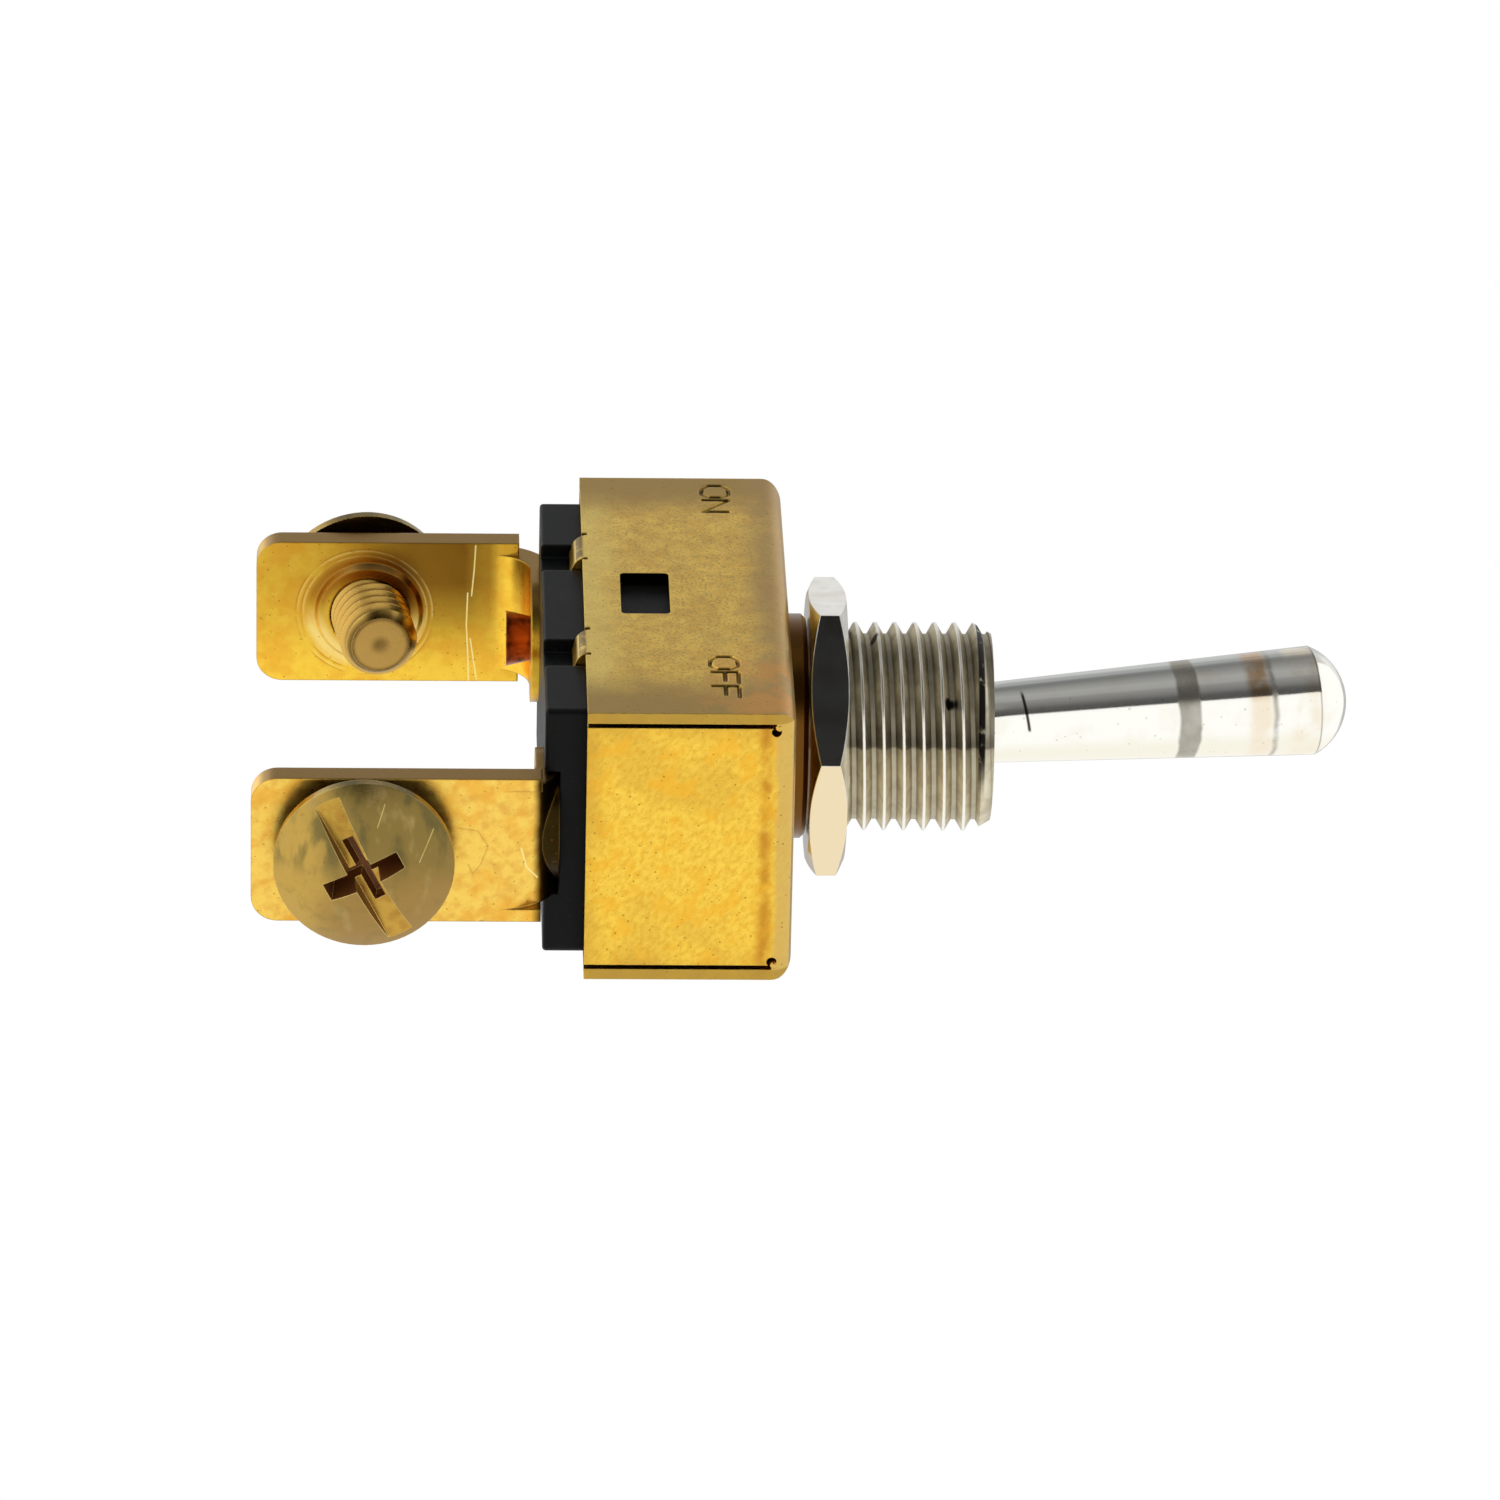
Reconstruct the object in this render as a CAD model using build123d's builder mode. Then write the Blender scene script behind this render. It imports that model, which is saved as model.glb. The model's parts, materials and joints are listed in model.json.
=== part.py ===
"""Heavy-duty on-off toggle switch with a folded brass case, a threaded bushing and two screw terminals.

Millimetres. The origin is on the bushing's axis at the nut's upper face, where the back of a panel sits.
+Z points out through the bushing, the lever swings along X, and the stamped long flap of the case faces -Y.
The lever rests tilted towards -X, which is the switch's ON position.
"""
import os
from math import atan2, cos, pi, radians, sin, sqrt, tan

from build123d import *

os.makedirs("parts", exist_ok=True)

# Folded case
case_length = 28.6
case_width = 15.6
case_height = 10.9
case_sheet = 0.6
case_fold_radius = 0.45
flap_gap = 0.25
relief_lip = 0.18
window_length = 4.9
window_height = 2.6
window_drop = 7.64
window_corner = 0.25
ear_spacing = 11.5
ear_width = 2.7
ear_reach = 0.5
ear_fold_radius = 0.25
ear_fold_rise = 0.3
ear_turn = 75.0
ear_slit = 0.3

# Threaded bushing, staked through the top of the case
thread_radius = 5.556
thread_pitch = 1.058
thread_depth = 0.6
thread_crest = 0.13
thread_root = 0.12
core_step = 0.356
bushing_height = 10.9
bushing_end_step = 0.556
bushing_end_taper = 0.95
shoulder_lip = 0.8
shoulder_height = 1.0
shoulder_bevel = 0.25
stake_lip = 1.0
stake_thickness = 0.5
bore_flare_height = 2.0

# Panel nut
nut_across_flats = 14.29
nut_thickness = 2.0
nut_bevel_angle = 24.0
nut_turn = -11.5
nut_sides = 6

# Lever, its cross pin, spring and plunger
lever_tilt = 9.5
pivot_depth = 3.0
ball_radius = 3.5
neck_radius = 2.13
rim_radius = 2.935
rim_rise = 20.7
dome_height = 1.9
stem_radius = 2.0
stem_length = 10.6
pin_radius = 0.8
pin_length = 8.9
pin_chamfer = 0.16
spring_seat = 3.0
spring_wire = 0.36
spring_turns = 6
spring_steps = 12
spring_sides = 8
plunger_radius = 1.3
plunger_engagement = 1.8

# Moulded base
base_drop = 2.17
base_foot_inset = 0.87
base_step_rise = 0.4
base_floor = 2.87
base_side_wall = 1.5
base_end_wall = 1.05
base_corner_radius = 0.4
base_edge_radius = 0.2
foot_recess = 0.82

# Fibre insulator between the mechanism and the case
insulator_thickness = 0.35

# Screw terminals
terminal_sheet = 1.27
terminal_overhang = 0.5
terminal_width = 8.33
terminal_shoulder = 0.715
terminal_reach = 15.3
terminal_fold_radius = 1.9
terminal_corner_radius = 1.4
load_shoulder_drop = 0.13
supply_shoulder_drop = 1.05
collar_wall = 0.82
collar_height = 0.35
collar_taper = 30.0

# Terminal screws with a slot and a cross recess
screw_radius = 2.083
screw_length = 6.35
screw_drop = 9.4
load_screw_lift = 1.17
supply_screw_lift = 0.95
load_screw_tilt = 0.0
supply_screw_tilt = 9.0
screw_point = 0.5
head_radius = 4.72
head_rim = 0.5
head_dome = 1.6
slot_width = 1.35
slot_depth = 1.3
cross_span = 4.4
cross_width = 1.15
cross_depth = 2.0
cross_taper = 12.0
load_slot_angle = -63.0
supply_slot_angle = 20.0

# Contacts and rivets
rivet_inset = 2.33
rivet_radius = 1.4
rivet_head_radius = 1.9
rivet_head_height = 0.7
rivet_tail_height = 1.3
rivet_tail_radius = 1.5
rivet_tail_waist = 1.2
rivet_tail_bore = 0.75
strip_thickness = 0.8
strip_width = 5.0
contact_to_rivet = 4.4
fixed_contact_radius = 1.6
fixed_contact_height = 0.75
moving_contact_radius = 1.5
moving_contact_height = 0.6
contact_chamfer = 0.15
saddle_ear_length = 2.8
saddle_ear_thickness = 0.8
saddle_ear_lip = 0.55
rest_dimple_radius = 1.4
rest_dimple_top_radius = 0.9

# Rocker, a strip folded to a shallow cradle with a wing on each side
rocker_tilt = 8.0
rocker_thickness = 0.9
rocker_width = 5.0
rocker_end_lip = 0.1
cradle_half_length = 3.6
cradle_angle = 13.5
trunnion_radius = 0.5

# Fits and gaps
close_fit = 0.02
running_fit = 0.05
ball_fit = 0.08
base_fit = 0.1
seat_gap = 0.1
contact_gap = 0.05
plunger_gap = 0.23
swing_gap = 0.4
rocker_side_gap = 0.25
recess_fit = 0.15
notch_gap = 0.22
stack_gap = 0.05
neck_run = 0.15

# Levels from the panel downwards, and upwards to the bushing's end
nut_top = 0.0
nut_bottom = nut_top - nut_thickness
shoulder_top = nut_bottom - seat_gap
case_top = shoulder_top - shoulder_height
case_inner_top = case_top - case_sheet
stake_bottom = case_inner_top - stake_thickness
insulator_top = stake_bottom - stack_gap
base_top = insulator_top - insulator_thickness
case_bottom = case_top - case_height
base_bottom = case_bottom - base_drop
base_floor_top = base_bottom + base_floor
strip_top = base_floor_top + strip_thickness
foot_top = base_bottom + foot_recess
foot_bottom = foot_top - terminal_sheet
terminal_end = base_bottom - terminal_reach
screw_height = base_bottom - screw_drop
bushing_top = case_top + bushing_height
pivot_height = bushing_top - pivot_depth

# Lengths and places that follow from the sizes
core_radius = thread_radius - core_step
case_inner_length = case_length - 2 * case_sheet
case_inner_width = case_width - 2 * case_sheet
base_length = case_inner_length - 2 * base_fit
base_width = case_inner_width - 2 * base_fit
base_foot_length = base_length - 2 * base_foot_inset
terminal_outer = case_length / 2 + terminal_overhang
terminal_inner = terminal_outer - terminal_sheet
terminal_neck = terminal_width - 2 * terminal_shoulder
rivet_place = base_foot_length / 2 - rivet_inset
contact_place = rivet_place - contact_to_rivet
rocker_half_length = contact_place + moving_contact_radius + rocker_end_lip
sides = {"load": 1, "supply": -1}
shoulder_drops = {"load": load_shoulder_drop, "supply": supply_shoulder_drop}
slot_angles = {"load": load_slot_angle, "supply": supply_slot_angle}
screw_lifts = {"load": load_screw_lift, "supply": supply_screw_lift}
screw_tilts = {"load": radians(load_screw_tilt), "supply": radians(supply_screw_tilt)}

# Lever frame: the sketch plane's x is the radius and its y runs out along the lever
tilt = radians(lever_tilt)
pivot = Vector(0, 0, pivot_height)
lever_direction = Vector(-sin(tilt), 0, cos(tilt))
lever_axis = Axis(pivot, lever_direction)
lever_plane = Plane(origin=pivot, x_dir=(cos(tilt), 0, sin(tilt)), z_dir=(0, -1, 0))

# Rocker frame: its pivot height closes the contacts when the rocker leans to its ON side
lean = radians(rocker_tilt)
cradle = radians(cradle_angle)
wing_lift = cradle_half_length * (tan(cradle) * cos(lean) - sin(lean))
wing_underside_lift = wing_lift - rocker_thickness / 2
fixed_contact_top = strip_top + fixed_contact_height
rocker_height = fixed_contact_top + contact_gap + moving_contact_height - wing_underside_lift
rocker_plane = Plane(origin=(0, 0, rocker_height), x_dir=(cos(lean), 0, -sin(lean)), z_dir=(0, -1, 0))

# The plunger's round tip rides just above the cradle, so its centre follows from that gap
cradle_slope = cradle - lean
tip_clearance = rocker_thickness / 2 + plunger_radius + plunger_gap
tip_drop = (pivot_height - rocker_height) * cos(cradle_slope) - tip_clearance
tip_centre = tip_drop / cos(tilt - cradle_slope)
plunger_top = stem_length - plunger_engagement


def stem_sweep(level: float) -> float:
    """How far the lever's stem reaches from the middle, along its swing, at a level below the pivot."""
    return (pivot_height - level) * tan(tilt) + stem_radius / cos(tilt)


def screw_frame(name: str, reach: float = 0.0) -> Plane:
    """Plane across a terminal screw, at a reach outwards from the tab's outer face; its x runs up the tab."""
    side = sides[name]
    askew = screw_tilts[name]
    outwards = Vector(side * cos(askew), 0, -sin(askew))
    upwards = Vector(side * sin(askew), 0, cos(askew))
    hole = Vector(side * terminal_outer, 0, screw_height)
    return Plane(origin=hole + outwards * reach, x_dir=upwards, z_dir=outwards)


def write(piece: Part, name: str) -> None:
    """Labels a finished piece and writes it as one file."""
    piece.label = name
    export_step(piece, f"parts/{name}.step")


# Case: one sheet folded down on four sides, with slits at the corners and clinch ears on the long flaps
case_outer_fold = case_fold_radius + case_sheet
slit_side = (case_inner_width - flap_gap) / 2
slit_top = case_top - case_outer_fold
relief_side = case_inner_width / 2 - case_fold_radius
relief_radius = case_fold_radius - relief_lip
ear_outer_fold = ear_fold_radius + case_sheet
ear_turned = radians(ear_turn)
ear_centre_y = case_inner_width / 2 - ear_fold_radius
ear_centre_z = case_bottom + ear_fold_rise


def ear_point(side: int, radius: float, angle: float, reach: float = 0.0) -> tuple:
    """Point on the ear's section: round the fold by an angle, then straight on by a reach."""
    across = ear_centre_y + radius * cos(angle) - reach * sin(angle)
    return side * across, ear_centre_z - radius * sin(angle) - reach * cos(angle)


with BuildPart() as case:
    with BuildSketch(Plane.XY.offset(case_top)):
        Rectangle(case_length, case_width)
    extrude(amount=-case_height)
    fillet(case.faces().sort_by(Axis.Z)[-1].edges(), radius=case_outer_fold)
    with BuildSketch(Plane.XY.offset(case_bottom)):
        Rectangle(case_inner_length, case_inner_width)
    extrude(amount=case_height - case_sheet, mode=Mode.SUBTRACT)
    inner_roof = case.faces().filter_by(Axis.Z).sort_by(Axis.Z)[-2]
    fillet(inner_roof.edges(), radius=case_fold_radius)
    with BuildSketch(Plane.XY.offset(case_bottom)):
        with GridLocations(case_length - case_sheet, 2 * slit_side, 2, 2):
            Rectangle(case_sheet + 2 * close_fit, flap_gap)
    extrude(amount=slit_top - case_bottom, mode=Mode.SUBTRACT)
    with BuildSketch(Plane.YZ.offset(-case_length / 2 - close_fit)):
        with Locations((relief_side, slit_top), (-relief_side, slit_top)):
            Circle(relief_radius)
    extrude(amount=case_length + 2 * close_fit, mode=Mode.SUBTRACT)
    with BuildSketch(Plane.XY.offset(case_top + close_fit)):
        Circle(core_radius + close_fit)
    extrude(amount=-case_sheet - 2 * close_fit, mode=Mode.SUBTRACT)
    with BuildSketch(Plane.XZ.offset(case_width / 2 + close_fit)):
        with Locations((0, case_top - window_drop)):
            RectangleRounded(window_length, window_height, window_corner)
    extrude(amount=-case_sheet - 2 * close_fit, mode=Mode.SUBTRACT)
    with BuildSketch(Plane.XZ):
        with Locations((-ear_spacing / 2, case_bottom), (ear_spacing / 2, case_bottom)):
            Rectangle(ear_width + 2 * ear_slit, 2 * ear_fold_rise)
    extrude(amount=case_width, both=True, mode=Mode.SUBTRACT)
    for ear_place in (-ear_spacing / 2, ear_spacing / 2):
        for side in (-1, 1):
            with BuildSketch(Plane.YZ.offset(ear_place)):
                with BuildLine():
                    ThreePointArc(
                        ear_point(side, ear_outer_fold, 0),
                        ear_point(side, ear_outer_fold, ear_turned / 2),
                        ear_point(side, ear_outer_fold, ear_turned),
                    )
                    Polyline(
                        ear_point(side, ear_outer_fold, ear_turned),
                        ear_point(side, ear_outer_fold, ear_turned, ear_reach),
                        ear_point(side, ear_fold_radius, ear_turned, ear_reach),
                        ear_point(side, ear_fold_radius, ear_turned),
                    )
                    ThreePointArc(
                        ear_point(side, ear_fold_radius, ear_turned),
                        ear_point(side, ear_fold_radius, ear_turned / 2),
                        ear_point(side, ear_fold_radius, 0),
                    )
                    Line(ear_point(side, ear_fold_radius, 0), ear_point(side, ear_outer_fold, 0))
                make_face()
            extrude(amount=ear_width / 2, both=True)
write(case.part, "case")

# Bushing: turned, with a shoulder on the case, a ring staked inside it and a round seat for the ball
shoulder_radius = core_radius + shoulder_lip
stake_radius = core_radius + stake_lip
seat_radius = ball_radius + ball_fit
mouth_radius = pivot_depth * tan(tilt) + neck_radius / cos(tilt) + swing_gap
seat_rise = sqrt(seat_radius**2 - mouth_radius**2)
seat_half_angle = atan2(seat_rise, mouth_radius) / 2
seat_middle = (seat_radius * cos(seat_half_angle), pivot_height + seat_radius * sin(seat_half_angle))
thread_start = nut_top + neck_run
thread_end = bushing_top - bushing_end_taper
thread_turns = int((thread_end - thread_start) / thread_pitch)
thread_flank = (thread_pitch - thread_crest - thread_root) / 2
pin_reach = pin_length / 2 + running_fit
pin_groove = pin_radius + running_fit


def thread_groove(number: int) -> list:
    """Section of one turn of the thread, drawn as a ring: down one flank, along the root and up the other."""
    start = thread_end - number * thread_pitch - thread_crest
    return [
        (thread_radius, start),
        (thread_radius - thread_depth, start - thread_flank),
        (thread_radius - thread_depth, start - thread_flank - thread_root),
        (thread_radius, start - 2 * thread_flank - thread_root),
    ]


with BuildPart() as bushing:
    with BuildSketch(Plane.XZ):
        with BuildLine():
            Polyline(
                (seat_radius, pivot_height),
                (seat_radius, case_top + bore_flare_height),
                (stem_sweep(stake_bottom) + swing_gap, stake_bottom),
                (stake_radius, stake_bottom),
                (stake_radius, case_inner_top),
                (core_radius, case_inner_top),
                (core_radius, case_top),
                (shoulder_radius, case_top),
                (shoulder_radius, shoulder_top - shoulder_bevel),
                (shoulder_radius - shoulder_bevel, shoulder_top),
                (core_radius, shoulder_top),
                (core_radius, thread_start),
                (thread_radius, thread_start),
                (thread_radius, thread_end),
                (thread_radius - bushing_end_step, bushing_top),
                (mouth_radius, bushing_top),
                (mouth_radius, pivot_height + seat_rise),
            )
            ThreePointArc((mouth_radius, pivot_height + seat_rise), seat_middle, (seat_radius, pivot_height))
        make_face()
    revolve(axis=Axis.Z)
    with BuildSketch(Plane.XZ):
        for turn in range(thread_turns):
            with BuildLine():
                Polyline(*thread_groove(turn), close=True)
            make_face()
    revolve(axis=Axis.Z, mode=Mode.SUBTRACT)
    with BuildSketch(Plane.XZ):
        with Locations((0, pivot_height)):
            Circle(pin_groove)
        with Locations((0, (pivot_height + stake_bottom) / 2)):
            Rectangle(2 * pin_groove, pivot_height - stake_bottom + 2 * close_fit)
    extrude(amount=pin_reach, both=True, mode=Mode.SUBTRACT)
write(bushing.part, "bushing")

# Panel nut: a hexagon bevelled on both faces
nut_flat = nut_across_flats / 2
nut_corner = nut_flat / cos(pi / nut_sides)
nut_bevel = (nut_corner - nut_flat) * tan(radians(nut_bevel_angle))

with BuildPart() as panel_nut:
    with BuildSketch(Plane.XY.offset(nut_bottom)):
        RegularPolygon(nut_corner, nut_sides, rotation=nut_turn)
        Circle(core_radius + running_fit, mode=Mode.SUBTRACT)
    extrude(amount=nut_thickness)
    with BuildSketch(Plane.XZ):
        with BuildLine():
            Polyline(
                (0, nut_bottom),
                (nut_flat, nut_bottom),
                (nut_corner, nut_bottom + nut_bevel),
                (nut_corner, nut_top - nut_bevel),
                (nut_flat, nut_top),
                (0, nut_top),
                close=True,
            )
        make_face()
    revolve(axis=Axis.Z, mode=Mode.INTERSECT)
write(panel_nut.part, "panel_nut")

# Lever: a tapered handle with a domed end, a ball and a hollow stem, all one turned piece
lever_end = rim_rise + dome_height
neck_rise = sqrt(ball_radius**2 - neck_radius**2)
stem_start = -sqrt(ball_radius**2 - stem_radius**2)
dome_radius = (rim_radius**2 + dome_height**2) / (2 * dome_height)
dome_middle = (rim_radius / 2, lever_end - dome_radius + sqrt(dome_radius**2 - (rim_radius / 2) ** 2))
stem_bore = plunger_radius + running_fit
stem_end = Plane(origin=pivot - lever_direction * stem_length, z_dir=lever_direction)

with BuildPart() as toggle_lever:
    with BuildSketch(lever_plane):
        with BuildLine():
            Polyline((0, lever_end), (0, -stem_length), (stem_radius, -stem_length))
            Line((stem_radius, -stem_length), (stem_radius, stem_start))
            ThreePointArc((stem_radius, stem_start), (ball_radius, 0), (neck_radius, neck_rise))
            Line((neck_radius, neck_rise), (rim_radius, rim_rise))
            ThreePointArc((rim_radius, rim_rise), dome_middle, (0, lever_end))
        make_face()
    revolve(axis=lever_axis)
    with BuildSketch(stem_end):
        Circle(stem_bore)
    extrude(amount=stem_length - spring_seat, mode=Mode.SUBTRACT)
    with Locations(Plane(origin=pivot, z_dir=(0, 1, 0))):
        Cylinder(pin_radius + close_fit, 2 * ball_radius, mode=Mode.SUBTRACT)
write(toggle_lever.part, "toggle_lever")

# Cross pin through the ball, which hinges the lever in the bushing's grooves
with BuildPart() as lever_pin:
    with BuildSketch(Plane.XZ.offset(-pin_length / 2)):
        with Locations((0, pivot_height)):
            Circle(pin_radius)
    extrude(amount=pin_length)
    chamfer(lever_pin.edges().filter_by(GeomType.CIRCLE), length=pin_chamfer)
write(lever_pin.part, "lever_pin")

# Plunger: an insulating pin with a round tip, guided in the lever's stem
with BuildPart() as plunger:
    with BuildSketch(lever_plane):
        with BuildLine():
            Polyline((0, -tip_centre - plunger_radius), (0, -plunger_top), (plunger_radius, -plunger_top))
            Line((plunger_radius, -plunger_top), (plunger_radius, -tip_centre))
            RadiusArc((plunger_radius, -tip_centre), (0, -tip_centre - plunger_radius), plunger_radius)
        make_face()
    revolve(axis=lever_axis)
write(plunger.part, "plunger")

# Spring: a wire coil between the bore's end and the plunger, in straight lengths with an eight-sided section
spring_radius = stem_bore - spring_wire / 2 - running_fit
spring_top = spring_seat + spring_wire / 2 + close_fit
spring_length = plunger_top - spring_wire / 2 - close_fit - spring_top
coil_frame = Plane(origin=pivot - lever_direction * spring_top, z_dir=-lever_direction)
coil_count = spring_turns * spring_steps


def coil_point(number: int) -> Vector:
    """Corner of the coil, counted from its upper end."""
    angle = 2 * pi * number / spring_steps
    reach = spring_length * number / coil_count
    return coil_frame.from_local_coords((spring_radius * cos(angle), spring_radius * sin(angle), reach))


with BuildPart() as plunger_spring:
    with BuildLine() as coil:
        Polyline(*[coil_point(number) for number in range(coil_count + 1)])
    with BuildSketch(Plane(origin=coil.line @ 0, z_dir=coil.line % 0)):
        RegularPolygon(spring_wire / 2, spring_sides)
    sweep(transition=Transition.RIGHT)
write(plunger_spring.part, "plunger_spring")

# Base: a moulded tub inside the case, with a foot below it, ear notches and recesses for the terminals
base_step = case_bottom + base_step_rise
cavity_length = base_length - 2 * base_end_wall
cavity_width = base_width - 2 * base_side_wall
notch_floor_y = ear_point(1, ear_fold_radius, ear_turned, ear_reach)[0] - notch_gap
notch_top = ear_centre_z - sqrt((ear_fold_radius - close_fit) ** 2 - (ear_fold_radius - base_fit) ** 2)

with BuildPart() as base:
    with BuildSketch(Plane.XY.offset(base_bottom)):
        Rectangle(base_foot_length, base_width)
    extrude(amount=base_step - base_bottom)
    with BuildSketch(Plane.XY.offset(base_step)):
        Rectangle(base_length, base_width)
    extrude(amount=base_top - base_step)
    fillet(base.edges().filter_by(Axis.Z), radius=base_corner_radius)
    fillet(base.faces().sort_by(Axis.Z)[0].edges(), radius=base_edge_radius)
    with BuildSketch(Plane.XY.offset(base_floor_top)):
        RectangleRounded(cavity_length, cavity_width, base_corner_radius)
    extrude(amount=base_top - base_floor_top, mode=Mode.SUBTRACT)
    with BuildSketch(Plane.XY.offset(base_bottom)):
        with GridLocations(ear_spacing, base_width, 2, 2):
            Rectangle(ear_width + 2 * notch_gap, base_width - 2 * notch_floor_y)
    extrude(amount=notch_top - base_bottom, mode=Mode.SUBTRACT)
    with BuildSketch(Plane.XY.offset(base_bottom)):
        for side in sides.values():
            with Locations((side * rivet_place, 0)):
                Circle(terminal_neck / 2 + recess_fit)
            with Locations((side * (rivet_place + base_foot_length / 2) / 2, 0)):
                Rectangle(rivet_inset, terminal_neck + 2 * recess_fit)
    extrude(amount=foot_recess, mode=Mode.SUBTRACT)
    with BuildSketch(Plane.XY.offset(base_bottom)):
        with Locations((-rivet_place, 0), (rivet_place, 0)):
            Circle(rivet_radius + close_fit)
    extrude(amount=base_floor, mode=Mode.SUBTRACT)
write(base.part, "base")

# Insulator: a fibre sheet on the base's rim, slotted for the lever's swing
slot_half_width = stem_radius + swing_gap
slot_half_length = stem_sweep(base_top) + swing_gap

with BuildPart() as fibre_insulator:
    with BuildSketch(Plane.XY.offset(base_top)):
        RectangleRounded(base_length, base_width, base_corner_radius)
        SlotOverall(2 * slot_half_length, 2 * slot_half_width, mode=Mode.SUBTRACT)
    extrude(amount=insulator_thickness)
write(fibre_insulator.part, "fibre_insulator")

# Screw terminals: a foot under the base, whose neck folds down to a tab with straight shoulders and a collar
fold_x = terminal_inner - terminal_fold_radius
fold_z = foot_bottom - terminal_fold_radius
fold_outer = terminal_fold_radius + terminal_sheet
diagonal = cos(pi / 4)
screw_hole = screw_radius + running_fit

for name, side in sides.items():
    shoulder_end = base_bottom - shoulder_drops[name]
    with BuildPart() as terminal:
        with BuildSketch(Plane(origin=(0, 0, 0), x_dir=(side, 0, 0), z_dir=(0, -side, 0))):
            with BuildLine():
                Polyline(
                    (fold_x, foot_bottom),
                    (rivet_place, foot_bottom),
                    (rivet_place, foot_top),
                    (fold_x, foot_top),
                )
                ThreePointArc(
                    (fold_x, foot_top),
                    (fold_x + fold_outer * diagonal, fold_z + fold_outer * diagonal),
                    (terminal_outer, fold_z),
                )
                Line((terminal_outer, fold_z), (terminal_inner, fold_z))
                ThreePointArc(
                    (terminal_inner, fold_z),
                    (fold_x + terminal_fold_radius * diagonal, fold_z + terminal_fold_radius * diagonal),
                    (fold_x, foot_bottom),
                )
            make_face()
        extrude(amount=terminal_neck / 2, both=True)
        with BuildSketch(Plane.YZ.offset(side * terminal_inner)):
            with Locations((0, (shoulder_end + terminal_end) / 2)):
                Rectangle(terminal_width, shoulder_end - terminal_end)
            with Locations((0, (shoulder_end + fold_z) / 2)):
                Rectangle(terminal_neck, shoulder_end - fold_z, mode=Mode.SUBTRACT)
        extrude(amount=side * terminal_sheet)
        lower_corners = terminal.edges().filter_by(Axis.X).group_by(Axis.Z)[0]
        fillet(lower_corners, radius=terminal_corner_radius)
        with BuildSketch(Plane.XY.offset(foot_bottom)):
            with Locations((side * rivet_place, 0)):
                Circle(terminal_neck / 2)
        extrude(amount=terminal_sheet)
        collar_z = screw_height + terminal_sheet * tan(screw_tilts[name])
        with BuildSketch(Plane(origin=(side * terminal_inner, 0, collar_z), z_dir=(-side, 0, 0))):
            Circle(screw_hole + collar_wall)
        extrude(amount=collar_height, taper=collar_taper)
        with BuildSketch(screw_frame(name)):
            Circle(screw_hole)
        extrude(amount=2 * terminal_sheet, both=True, mode=Mode.SUBTRACT)
        with BuildSketch(Plane.XY.offset(foot_bottom)):
            with Locations((side * rivet_place, 0)):
                Circle(rivet_radius + close_fit)
        extrude(amount=terminal_sheet, mode=Mode.SUBTRACT)
    write(terminal.part, f"{name}_terminal")

# Terminal screws: domed heads with a full slot crossed by a deeper recess, backed off, the far one askew
head_top = head_rim + head_dome
crown_radius = (head_radius**2 + head_dome**2) / (2 * head_dome)
crown_middle = (head_radius / 2, head_top - crown_radius + sqrt(crown_radius**2 - (head_radius / 2) ** 2))

for name in sides:
    under_head = screw_frame(name, screw_lifts[name])
    crown = screw_frame(name, screw_lifts[name] + head_top)
    with BuildPart() as screw:
        with BuildSketch(Plane(origin=under_head.origin, x_dir=under_head.x_dir, z_dir=-under_head.y_dir)):
            with BuildLine():
                Polyline(
                    (0, head_top),
                    (0, -screw_length),
                    (screw_radius - screw_point, -screw_length),
                    (screw_radius, screw_point - screw_length),
                    (screw_radius, 0),
                    (head_radius, 0),
                    (head_radius, head_rim),
                )
                ThreePointArc((head_radius, head_rim), crown_middle, (0, head_top))
            make_face()
        revolve(axis=Axis(under_head.origin, under_head.z_dir))
        with BuildSketch(crown):
            Rectangle(2 * head_radius, slot_width, rotation=slot_angles[name])
        extrude(amount=-slot_depth, mode=Mode.SUBTRACT)
        with BuildSketch(crown):
            Rectangle(cross_span, cross_width, rotation=slot_angles[name])
            Rectangle(cross_width, cross_span, rotation=slot_angles[name])
        extrude(amount=-cross_depth, taper=cross_taper, mode=Mode.SUBTRACT)
    write(screw.part, f"{name}_screw")

# Rivets: each clamps a terminal's foot, the base's floor and the strip inside
tail_end = foot_bottom - rivet_tail_height

for name, side in sides.items():
    with BuildPart() as rivet:
        with BuildSketch(Plane(origin=(side * rivet_place, 0, 0), x_dir=(1, 0, 0), z_dir=(0, -1, 0))):
            with BuildLine():
                Polyline(
                    (0, strip_top + rivet_head_height),
                    (0, foot_bottom),
                    (rivet_tail_bore, foot_bottom),
                    (rivet_tail_bore, tail_end),
                    (rivet_tail_radius, tail_end),
                    (rivet_tail_waist, foot_bottom),
                    (rivet_radius, foot_bottom),
                    (rivet_radius, strip_top),
                    (rivet_head_radius, strip_top),
                    (rivet_head_radius, strip_top + rivet_head_height / 2),
                    (rivet_radius, strip_top + rivet_head_height),
                    close=True,
                )
            make_face()
        revolve(axis=Axis((side * rivet_place, 0, 0), (0, 0, 1)))
    write(rivet.part, f"{name}_rivet")

# Load strip with its fixed contact
strip_end = rivet_place + rivet_head_radius
load_strip_start = contact_place - fixed_contact_radius

with BuildPart() as load_strip:
    with BuildSketch(Plane.XY.offset(base_floor_top)):
        with Locations(((load_strip_start + strip_end) / 2, 0)):
            Rectangle(strip_end - load_strip_start, strip_width)
        with Locations((rivet_place, 0)):
            Circle(rivet_radius + close_fit, mode=Mode.SUBTRACT)
    extrude(amount=strip_thickness)
write(load_strip.part, "load_strip")

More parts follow.
